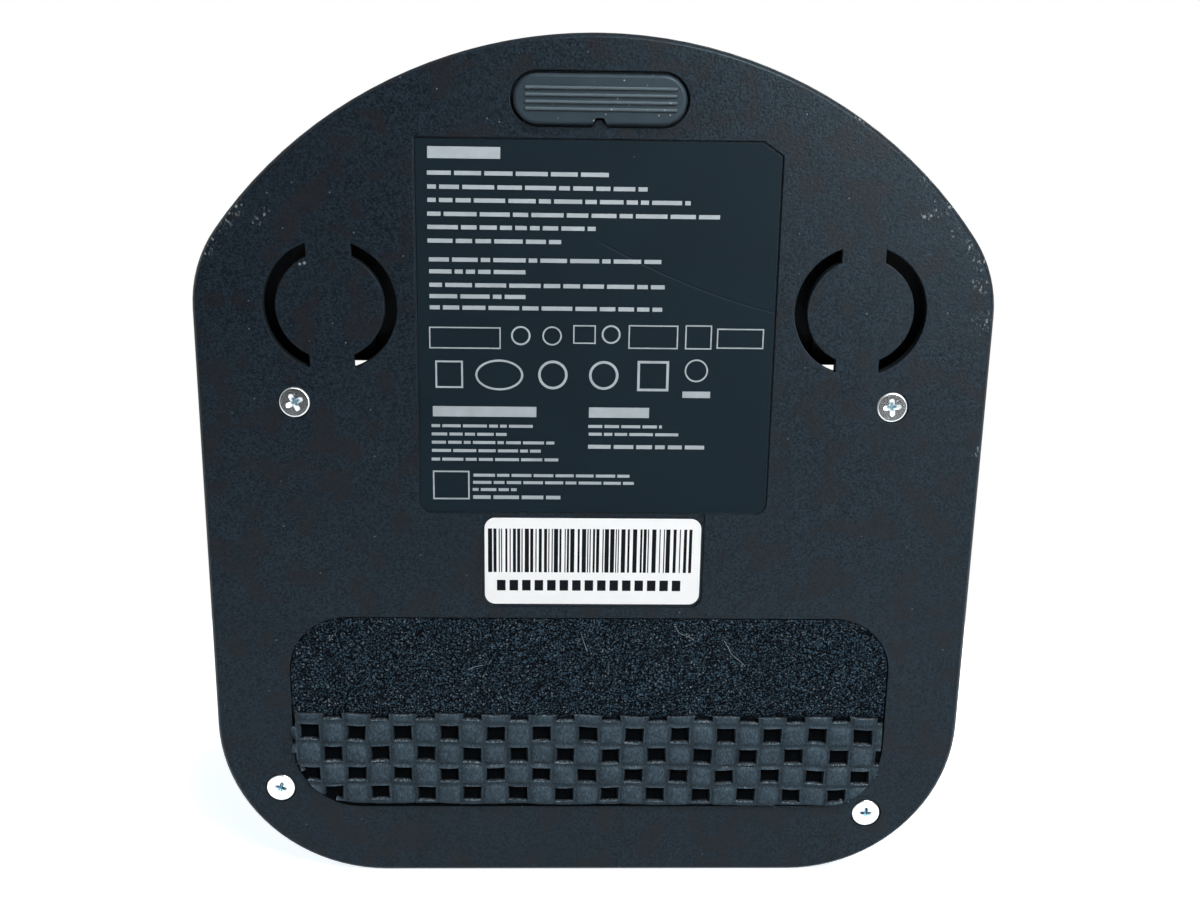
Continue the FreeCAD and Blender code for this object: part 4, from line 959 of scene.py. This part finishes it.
def add_grid(name, low, high, step):
    """Flat grid of faces about step across, between two plan corners, in metres."""
    alone()
    columns = round((high[0] - low[0]) / step)
    rows = round((high[1] - low[1]) / step)
    middle = ((low[0] + high[0]) / 2, (low[1] + high[1]) / 2, 0.0)
    bpy.ops.mesh.primitive_grid_add(x_subdivisions=columns, y_subdivisions=rows, size=1.0, location=middle)
    obj = named(name)
    obj.scale = (high[0] - low[0], high[1] - low[1], 1.0)
    settle(obj)
    return obj


class DOCK_OT_foam(Operator):
    """Rough open-cell foam in the rear recess"""

    bl_idname = "dock.foam"
    bl_label = "Foam pad"

    def open_cells(self, rubber):
        """Matt foam with dark pores and pale cell walls, flecks of lint, and painted black shade where the
        mat covers it.
        """
        look = Finish("foam_open_cell", metallic=0.0, specular_ior_level=0.04, roughness=0.95)
        pores = look.noise(0.34 * MM, 4.0)
        broad = look.noise(14 * MM, 2.0)
        # Painted shade in the pores and painted highlight on the cell walls
        colour = look.mix(look.span(pores, 0.5, 0.72), opaque(rubber.foam), opaque(rubber.fleck))
        tinted = look.span(look.noise(7 * MM, 2.0), 0.5, 0.7, 0.0, 0.2)
        colour = look.mix(tinted, colour, opaque(rubber.foam_warm))
        lint = look.specks(0.62 * MM, 0.34, 0.12, 0.74, 0.78)
        lint = look.calc("MULTIPLY", lint, look.span(broad, 0.35, 0.65, 0.45, 1.0))
        colour = look.mix(look.calc("MULTIPLY", lint, 0.7), colour, opaque(rubber.dust))
        # Painted shade: the foam under the mat, seen through its holes, is painted near black
        mat_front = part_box("grip_mat")[0].y
        covered_shade = look.span(look.along("Y"), mat_front, mat_front + 1.5 * MM, 0.0, 0.98)
        look.set("base color", look.mix(covered_shade, colour, opaque(DEEP_SHADE)))
        look.set("normal", look.bump(pores, 0.22 * MM, 0.8))
        return look.material

    def execute(self, context):
        low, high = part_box("foam_pad")
        face = low.z + PORE_REACH
        obj = add_grid("foam_sheet", low, high, 0.5 * MM)
        draw = random.Random(FOAM_SEED)
        for vertex in obj.data.vertices:
            x, y = rounded_reach(vertex.co.x, vertex.co.y, low, high, FOAM_CORNERS)
            vertex.co = (x, y, face + draw.uniform(*PORE_HEIGHTS) * MM)
        tidy_grid(obj, 0.01 * MM * MM)
        apply_modifier(obj, "SOLIDIFY", thickness=high.z - face, offset=-1.0)
        for vertex in obj.data.vertices:
            if vertex.co.z > (low.z + high.z) / 2:
                vertex.co.z = high.z
        smooth(obj, 80.0)
        present(obj, self.open_cells(context.scene.dock_rubber), ["foam_pad"])
        return {"FINISHED"}


# Seed of the foam's pores, the room for them below its face, and their heights about it in millimetres
FOAM_SEED = 11
PORE_REACH = 0.1 * MM
PORE_HEIGHTS = (-0.09, 0.07)
# Corner radii of the foam and of the mat: front left, front right, rear left, rear right
FOAM_CORNERS = (11.75 * MM, 11.75 * MM, 13.75 * MM, 13.75 * MM)
MAT_CORNERS = (0.4 * MM, 0.4 * MM, 11.8 * MM, 11.6 * MM)
# Painted shade down in the mat's holes and on the foam under the mat
DEEP_SHADE = paint(2, 5, 8)


class DOCK_OT_grip_mat(Operator):
    """Checkered rubber mat, soft-edged and a little uneven, stuck on slightly askew"""

    bl_idname = "dock.grip_mat"
    bl_label = "Grip mat"

    def worn_rubber(self, rubber):
        """Rubber with a worn grain, painted shade on the rims and black down in the holes, pale on their
        rear walls.
        """
        look = Finish("mat_rubber_worn_and_shaded", metallic=0.0, specular_ior_level=0.1)
        tone = look.noise(3.2 * MM, 3.0)
        fine = look.noise(0.46 * MM, 3.0, (1.4, 0.7, 1.0), 0.15)
        height = look.along("Z")
        dark = shade(rubber.mat, 0.5)
        colour = look.mix(look.span(tone, *MIDDLE, 0.3, 1.0), dark, opaque(rubber.mat))
        colour = look.mix(look.span(fine, 0.46, 0.34), colour, dark)
        colour = look.mix(look.span(fine, 0.54, 0.7, 0.0, 0.7), colour, shade(rubber.mat, 1.9))
        # Painted shade: black down in the holes
        colour = look.mix(look.span(height, 0.6 * MM, 1.2 * MM), colour, opaque(DEEP_SHADE))
        # Painted shade: darker rims where the cells go down into the holes
        edge = look.span(height, 0.3 * MM, 0.55 * MM, 0.0, 0.45)
        colour = look.mix(edge, colour, opaque(paint(10, 14, 18)))
        # Pale crumbs and painted highlight on the holes' rear walls, which face the key lamp
        crumbs_and_highlight = look.span(look.noise(0.42 * MM, 3.0), 0.5, 0.66, 0.0, 0.5)
        lit_rear_wall = look.span(look.facing((0.0, -1.0, 0.0)), 0.3, 0.7)
        shallow = look.span(height, 1.15 * MM, 0.7 * MM)
        crumbs_and_highlight = look.calc("MULTIPLY", crumbs_and_highlight, look.calc("MULTIPLY", lit_rear_wall, shallow))
        look.set("base color", look.mix(crumbs_and_highlight, colour, opaque(rubber.dust)))
        look.set("roughness", look.span(fine, *MIDDLE, 0.6, 0.78))
        look.set("normal", look.bump(fine, 0.11 * MM, 0.9))
        return look.material

    def execute(self, context):
        rubber = context.scene.dock_rubber
        low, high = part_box("grip_mat")
        cell = rubber.cell
        step = cell / CELL_FACES
        pitch_y = PITCH_SHARE * cell
        first_y = low.y + FIRST_ROW
        last_y = high.y - LAST_ROW
        columns = math.ceil((high.x - low.x + 1 * MM) / step)
        rows = math.ceil((high.y - low.y + 0.8 * MM) / step)
        start = (-columns * step / 2 + SHIFT_X, first_y - FRONT_FACES * step)
        obj = add_grid("rubber_mat", start, (start[0] + columns * step, start[1] + rows * step), step)

        def spot(x, y):
            """Row and column of the cell that a point is in, and how far it is from the cell's middle."""
            row = math.floor((y - first_y) / pitch_y + 0.5)
            column = math.floor((x - SHIFT_X) / cell + 0.5)
            return row, column, abs(x - SHIFT_X - column * cell), abs(y - first_y - row * pitch_y)

        def in_hole(face):
            """Whether a face is in one of the holes, which every second cell has."""
            row, column, across, along = spot(face.center.x, face.center.y)
            outer = row > LAST_HOLES or column < FIRST_HOLES or face.center.y > last_y
            whole = (row + column) % 2 or outer
            return not whole and across < rubber.hole_x / 2 and along < rubber.hole_y / 2

        def waver(x, y, row, column):
            """A point moved by the mat's small unevenness and its turn."""
            wavy_x = x + 0.09 * MM * math.sin(y / (1.7 * MM) + column)
            wavy_y = y + 0.15 * MM * math.sin(x / (4.3 * MM) + 0.9 * row)
            wavy_y += 0.06 * MM * math.sin(x / (1.3 * MM))
            off = wavy_y - (low.y + high.y) / 2
            return wavy_x - off * math.sin(rubber.turn), wavy_y + wavy_x * math.sin(rubber.turn)

        delete_faces(obj, in_hole)
        draw = random.Random(MAT_SEED)
        lift = {}
        pressed = set()
        near_edge = (low.x + 0.55 * MM, low.y)
        for vertex in obj.data.vertices:
            x, y = vertex.co.x, vertex.co.y
            row, column, across, along = spot(x, y)
            if (row, column) not in lift:
                lift[(row, column)] = draw.uniform(0.0, CELL_LIFT) * MM
            crown = (1 - (across / (cell / 2)) ** 3) * (1 - (along / (pitch_y / 2)) ** 4)
            sunk = (CELL_RIM - CELL_CROWN * crown) * MM + lift[(row, column)]
            edge_y = high.y - (0.75 + 0.12 * math.sin(x / (3.1 * MM))) * MM + EDGE_SLOPE * x
            far_edge = (high.x - 0.3 * MM, edge_y)
            moved = waver(x, y, row, column)
            x, y = rounded_reach(*moved, near_edge, far_edge, MAT_CORNERS)
            if math.hypot(x - moved[0], y - moved[1]) > 0.01 * MM:
                pressed.add(vertex.index)
            vertex.co = (x, y, low.z + max(LEAST_RISE, sunk))
        delete_faces(obj, lambda face: pressed.issuperset(face.vertices))
        tidy_grid(obj, 0.004 * MM * MM)
        apply_modifier(obj, "SOLIDIFY", thickness=MAT_THICKNESS, offset=-1.0)
        for vertex in obj.data.vertices:
            if vertex.co.z > MAT_MIDDLE:
                vertex.co.z = MAT_BACK
            vertex.co.z = max(vertex.co.z, low.z + LEAST_RISE)
        smooth(obj, 55.0)
        present(obj, self.worn_rubber(rubber), ["grip_mat"])
        return {"FINISHED"}


# Faces of the mat's grid across a cell, and in front of the middle of its first row
CELL_FACES = 12
FRONT_FACES = 10.5
# The last row and the first column that have holes
LAST_HOLES = 3
FIRST_HOLES = -12
# The mat's rows of holes: their pitch as a share of the cell, where the first and last are from the mat's
# edges, and how far the columns are off the middle
PITCH_SHARE = 0.978
FIRST_ROW = 4.7 * MM
LAST_ROW = 1.5 * MM
SHIFT_X = -0.5 * MM
# Relief of its cells in millimetres: depth at the rim, what the crown fills of it, how uneven cells are, and
# the seed of that
CELL_RIM = 0.52
CELL_CROWN = 0.46
CELL_LIFT = 0.16
MAT_SEED = 23
# The mat's thickness, its least height over its lowest point, the heights of its middle and its back, and
# the slope of its rear edge
MAT_THICKNESS = 0.9 * MM
LEAST_RISE = 0.02 * MM
MAT_MIDDLE = 0.82 * MM
MAT_BACK = 1.37 * MM
EDGE_SLOPE = 0.0065


class DOCK_OT_lint(Operator):
    """A few hairs of lint caught on the foam"""

    bl_idname = "dock.lint"
    bl_label = "Lint"

    def execute(self, context):
        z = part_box("foam_pad")[0].z
        hairs = []
        for points in LINT_HAIRS:
            alone()
            bpy.ops.curve.primitive_nurbs_path_add()
            hair = named("lint_hair")
            hair.data.splines.clear()
            spline = hair.data.splines.new("NURBS")
            spline.points.add(len(points) - 1)
            for point, (x, y) in zip(spline.points, points):
                point.co = (x * MM, y * MM, z, 1.0)
            spline.order_u = 3
            spline.use_endpoint_u = True
            hair.data.bevel_depth = HAIR_RADIUS
            hair.data.bevel_resolution = 1
            hair.data.use_fill_caps = True
            alone(hair)
            bpy.ops.object.convert(target="MESH")
            hairs.append(bpy.context.object)
        obj = join(hairs, "lint_hairs")
        settle(obj)
        look = plain_finish("lint_fibre", paint(132, 146, 154), 0.6, grain=0.3, relief=0.004, vary=0.15)
        present(obj, look)
        return {"FINISHED"}


# Hairs caught on the foam: their radius, and their plan points in millimetres
HAIR_RADIUS = 0.05 * MM
LINT_HAIRS = (
    ((17.4, 30.2), (17.7, 31.2), (18.5, 32.1), (20.2, 32.5), (21.3, 33.4)),
    ((27.6, 33.5), (28.4, 34.8), (29.1, 36.4), (30.4, 37.5), (32.0, 38.9)),
    ((-2.2, 31.6), (-1.7, 33.8), (-0.8, 36.0)),
    ((-25.6, 40.2), (-24.0, 39.3), (-22.4, 39.2)),
)


class DOCK_OT_contacts(Operator):
    """Arched charging contacts, their carriers, and the leaf springs that give way under them"""

    bl_idname = "dock.contacts"
    bl_label = "Charging contacts"

    def execute(self, context):
        metal = context.scene.dock_metal
        plate = plain_finish("contact_nickel", metal.contact, 0.22, 1.0, grain=0.4, relief=0.002, vary=0.08)
        moulded = plain_finish("carrier_plastic_moulded", paint(26, 27, 29), 0.5, grain=0.5)
        rolled = {"metallic": 1.0, "grain": 0.5, "relief": 0.01, "vary": 0.1}
        leaf = plain_finish("spring_steel_plain", paint(190, 190, 188), 0.3, **rolled)
        strip = plain_finish("strip_brass_tinned", paint(218, 196, 146), 0.32, **rolled)
        for side in SIDES:
            body = side + "_contact"
            arch = softened_copy(side + "_contact", side + "_contact_arch", 0.15 * MM)
            present(arch, plate, [side + "_contact"], body)
            dress(side + "_contact_carrier", moulded)
            dress(side + "_contact_strip", strip)
            spring = merged_copy(side + "_contact_spring", side + "_leaf_spring")
            smooth(spring)
            present(spring, leaf, [side + "_contact_spring"])
            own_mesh(spring)
        return {"FINISHED"}


class DOCK_OT_inlet_and_window(Operator):
    """Mains inlet with its pins, and the smoked signal window"""

    bl_idname = "dock.inlet_and_window"
    bl_label = "Inlet and window"

    def execute(self, context):
        socket = softened_copy("inlet_socket", "inlet_block", 0.3 * MM)
        coarse = {"grain": 0.5, "relief": 0.03, "vary": 0.15}
        moulded = plain_finish("inlet_plastic_moulded", paint(36, 37, 39), 0.42, **coarse)
        present(socket, moulded, ["inlet_socket"])
        pins = softened_copy("inlet_pins", "inlet_pin_pair", 0.45 * MM, 3)
        bright = {"metallic": 1.0, "grain": 0.4, "relief": 0.006, "vary": 0.08}
        plated = plain_finish("pin_plated", paint(214, 208, 190), 0.25, **bright)
        present(pins, plated, ["inlet_pins"])
        pane = softened_copy("front_window", "signal_pane", 0.3 * MM)
        glassy = {"grain": 1.2, "relief": 0.0002, "vary": 0.1, "coat_weight": 0.5}
        smoked = plain_finish("pane_smoked", paint(24, 20, 24), 0.12, **glassy)
        present(pane, smoked, ["front_window"])
        return {"FINISHED"}


# Finish of each hidden part: node, finish name, screen colour, roughness and metallic share
INSIDE_PARTS = (
    ("ballast_plate", "ballast_rolled_steel", (172, 172, 170), 0.42, 1.0),
    ("power_board", "board_lacquer", (52, 116, 84), 0.3, 0.0),
    ("fuse", "fuse_case", (40, 36, 34), 0.45, 0.0),
    ("line_capacitor", "capacitor_box", (196, 152, 54), 0.4, 0.0),
    ("line_choke", "choke_coil", (150, 92, 48), 0.38, 0.0),
    ("bridge_rectifier", "rectifier_case", (38, 38, 40), 0.5, 0.0),
    ("bulk_capacitor", "bulk_can_sleeve", (40, 48, 84), 0.3, 0.0),
    ("transformer_core", "ferrite_core", (70, 70, 73), 0.6, 0.0),
    ("transformer_winding", "winding_tape", (206, 172, 62), 0.35, 0.0),
    ("heat_sink", "sink_aluminium", (214, 216, 218), 0.36, 1.0),
    ("power_switch", "switch_case", (36, 36, 38), 0.5, 0.0),
    ("output_capacitor", "output_can_sleeve", (46, 52, 78), 0.3, 0.0),
    ("signal_header", "header_nylon", (226, 220, 204), 0.45, 0.0),
    ("signal_ribbon", "ribbon_vinyl", (178, 178, 182), 0.5, 0.0),
    ("signal_board", "signal_board_lacquer", (50, 110, 80), 0.3, 0.0),
    ("guide_emitters", "emitter_resin", (98, 90, 106), 0.18, 0.0),
    ("status_lamp", "lamp_resin", (222, 226, 214), 0.2, 0.0),
)


class DOCK_OT_inside_parts(Operator):
    """Finishes of the parts sealed inside the dock"""

    bl_idname = "dock.inside_parts"
    bl_label = "Inside parts"

    def execute(self, context):
        for node, name, screen, roughness, metallic in INSIDE_PARTS:
            dress(node, plain_finish(name, paint(*screen), roughness, metallic, grain=0.5, vary=0.12))
        return {"FINISHED"}


class DOCK_OT_stage(Operator):
    """Camera below the dock, soft lamps, white surroundings and the surface it stands on"""

    bl_idname = "dock.stage"
    bl_label = "Stage"

    def lamp(self, name, place, size, power):
        """Soft square lamp turned towards the dock's middle."""
        alone()
        bpy.ops.object.light_add(type="AREA", location=place)
        lamp = named(name)
        lamp.data.size = size
        lamp.data.energy = power
        lamp.rotation_euler = (-Vector(place)).to_track_quat("-Z", "Y").to_euler()
        return lamp

    def surroundings(self, ambient):
        """World that is white to the camera and to reflections, and lights evenly."""
        world = bpy.data.worlds.new("dock_surroundings")
        bpy.context.scene.world = world
        world.use_nodes = True
        nodes = Nodes(world.node_tree)
        path = nodes.add("LightPath").outputs
        seen = nodes.calc("MAXIMUM", path["Is Camera Ray"], path["Is Glossy Ray"])
        seen = nodes.calc("MAXIMUM", seen, path["Is Transmission Ray"])
        white = nodes.add("Background", {"Color": WHITE}).outputs[0]
        cool = opaque((0.94, 0.97, 1.0))
        soft = nodes.add("Background", {"Color": cool, "Strength": ambient}).outputs[0]
        shown = nodes.add("MixShader", {0: seen, 1: soft, 2: white}).outputs[0]
        nodes.add("OutputWorld", {"Surface": shown})

    def surface_finish(self, name, tint, glossy):
        """White surface seen from its front only, with soft shadows, and a painted glow that is dimmer and
        bluish near the dock.
        """
        material = bpy.data.materials.new(name)
        material.use_nodes = True
        nodes = Nodes(material.node_tree)
        place = nodes.add("TexCoord").outputs["Object"]
        away = nodes.add("VectorMath", {0: place}, operation="LENGTH").outputs["Value"]
        # Painted light: the glow fills the shadows with the bluish tint near the dock and with white farther
        # away
        tone = nodes.mix(nodes.span(away, *TINT_FADE), opaque(tint), WHITE)
        glow = nodes.add("Emission", {"Color": tone}).outputs[0]
        matt = nodes.add("BsdfDiffuse", {"Color": opaque((0.6, 0.6, 0.6))}).outputs[0]
        both = nodes.add("AddShader", {0: glow, 1: matt}).outputs[0]
        clear = nodes.add("BsdfTransparent").outputs[0]
        path = nodes.add("LightPath").outputs
        seen = path["Is Camera Ray"]
        if glossy:
            seen = nodes.calc("MAXIMUM", seen, path["Is Glossy Ray"])
        front = nodes.calc("SUBTRACT", 1.0, nodes.add("NewGeometry").outputs["Backfacing"])
        shown = {0: nodes.calc("MULTIPLY", seen, front), 1: clear, 2: both}
        nodes.add("OutputMaterial", {"Surface": nodes.add("MixShader", shown).outputs[0]})
        return material

    def execute(self, context):
        stage = context.scene.dock_stage
        context.scene.view_settings.view_transform = "Standard"
        self.surroundings(stage.ambient)

        alone()
        bpy.ops.mesh.primitive_plane_add(size=FLOOR_SIZE)
        floor = named("stage_floor")
        floor.data.materials.append(self.surface_finish("floor_white", (0.74, 0.82, 0.87), False))
        alone()
        behind = (0.0, CAD_BOX[1].y + STAND_GAP, STAND_HEIGHT)
        bpy.ops.mesh.primitive_plane_add(size=1.0, location=behind, rotation=(math.radians(90), 0.0, 0.0))
        stand = named("stage_stand")
        stand.scale = STAND_SIZE
        settle(stand)
        stand.data.materials.append(self.surface_finish("stand_white", (0.8, 0.86, 0.9), True))
        alone()
        bpy.ops.mesh.primitive_plane_add(size=CARD_SIZE, location=(0.0, 0.0, CARD_HEIGHT))
        card = named("stage_card")
        dark = Finish("card_black", roughness=1.0, specular_ior_level=0.0)
        dark.set("base color", opaque((0.01, 0.011, 0.013)))
        card.data.materials.append(dark.material)
        card.visible_camera = False
        card.visible_diffuse = False
        card.visible_shadow = False

        key = self.lamp("key_below", (0.26, -0.52, -0.40), 0.35, stage.key_power)
        sheen = self.lamp("sheen_below", (0.30, -0.14, -0.54), 0.3, stage.sheen_power)
        sheen.visible_diffuse = False
        fill = self.lamp("fill_below", (-0.40, 0.05, -0.52), 0.7, stage.fill_power)
        under = bpy.data.collections.new("underside")
        for name in UNDERSIDE:
            under.objects.link(bpy.data.objects[name])
        for lamp in (key, sheen, fill):
            lamp.light_linking.receiver_collection = under
        self.lamp("key_above", (0.55, -0.6, 0.85), 0.6, stage.top_power)
        self.lamp("fill_above", (-0.7, -0.2, 0.6), 0.7, stage.top_power * 0.35)
        self.lamp("rear_above", (0.1, 0.8, 0.7), 0.6, stage.top_power * 0.5)

        alone()
        bpy.ops.object.camera_add()
        camera = named("photo_camera")
        camera.data.sensor_fit = "HORIZONTAL"
        camera.data.sensor_width = 36.0
        camera.data.lens = stage.lens
        camera.data.clip_start = 0.005
        right, up, back = CAMERA_AXES
        turn = Matrix((right, up, back)).transposed()
        camera.matrix_world = Matrix.Translation(Vector(stage.camera_at)) @ turn.to_4x4()
        context.scene.camera = camera
        return {"FINISHED"}


# The floor, the stand behind the dock, and the dark card far below that the plastic mirrors
FLOOR_SIZE = 6.0
STAND_SIZE = (1.2, 0.44, 1.0)
STAND_HEIGHT = -0.08
STAND_GAP = 0.2 * MM
CARD_SIZE = 4.0
CARD_HEIGHT = -0.62
# Distances from the dock's middle between which the painted glow of the floor and the stand goes from its
# tint to white
TINT_FADE = (0.3, 0.8)

# Pieces and surfaces that the lamps below the dock light
UNDERSIDE = (
    "base_plate", "foot_pad", "front_screw_pair", "rear_screw_pair", "label_film_sheet", "label_marks",
    "sticker_sheet", "sticker_marks", "foam_sheet", "rubber_mat", "lint_hairs", "left_contact_arch",
    "right_contact_arch", "left_leaf_spring", "right_leaf_spring", "stage_floor", "stage_stand",
)

# The camera's own right, up and backward directions in the dock's frame
CAMERA_AXES = (
    (0.9995, -0.0164, -0.0283),
    (-0.0078, -0.9600, 0.2797),
    (-0.0317, -0.2793, -0.9596),
)


class DOCK_PT_panel(Panel):
    """Lists the dock's pieces"""

    bl_idname = "DOCK_PT_panel"
    bl_label = "Charging dock"
    bl_space_type = "VIEW_3D"
    bl_region_type = "UI"
    bl_category = "Dock"

    def draw(self, context):
        for operator in PIECES:
            self.layout.operator(operator.bl_idname)
        for name in SETTINGS:
            box = self.layout.box()
            group = getattr(context.scene, name)
            for key in group.__annotations__:
                box.prop(group, key)


SETTINGS = {
    "dock_plastic": DockPlasticSettings,
    "dock_rubber": DockRubberSettings,
    "dock_label": DockLabelSettings,
    "dock_metal": DockMetalSettings,
    "dock_stage": DockStageSettings,
}

PIECES = (
    DOCK_OT_base_plate,
    DOCK_OT_top_shell,
    DOCK_OT_front_foot,
    DOCK_OT_screws,
    DOCK_OT_rating_label,
    DOCK_OT_serial_sticker,
    DOCK_OT_foam,
    DOCK_OT_grip_mat,
    DOCK_OT_lint,
    DOCK_OT_contacts,
    DOCK_OT_inlet_and_window,
    DOCK_OT_inside_parts,
    DOCK_OT_stage,
)


def register():
    for group in SETTINGS.values():
        bpy.utils.register_class(group)
    for name, group in SETTINGS.items():
        setattr(bpy.types.Scene, name, PointerProperty(type=group))
    for operator in PIECES:
        bpy.utils.register_class(operator)
    bpy.utils.register_class(DOCK_PT_panel)


def unregister():
    bpy.utils.unregister_class(DOCK_PT_panel)
    for operator in reversed(PIECES):
        bpy.utils.unregister_class(operator)
    for name in SETTINGS:
        delattr(bpy.types.Scene, name)
    for group in reversed(list(SETTINGS.values())):
        bpy.utils.unregister_class(group)


def main():
    register()
    bpy.ops.dock.base_plate()
    bpy.ops.dock.top_shell()
    bpy.ops.dock.front_foot()
    bpy.ops.dock.screws()
    bpy.ops.dock.rating_label()
    bpy.ops.dock.serial_sticker()
    bpy.ops.dock.foam()
    bpy.ops.dock.grip_mat()
    bpy.ops.dock.lint()
    bpy.ops.dock.contacts()
    bpy.ops.dock.inlet_and_window()
    bpy.ops.dock.inside_parts()
    bpy.ops.dock.stage()


if __name__ == "__main__":
    main()
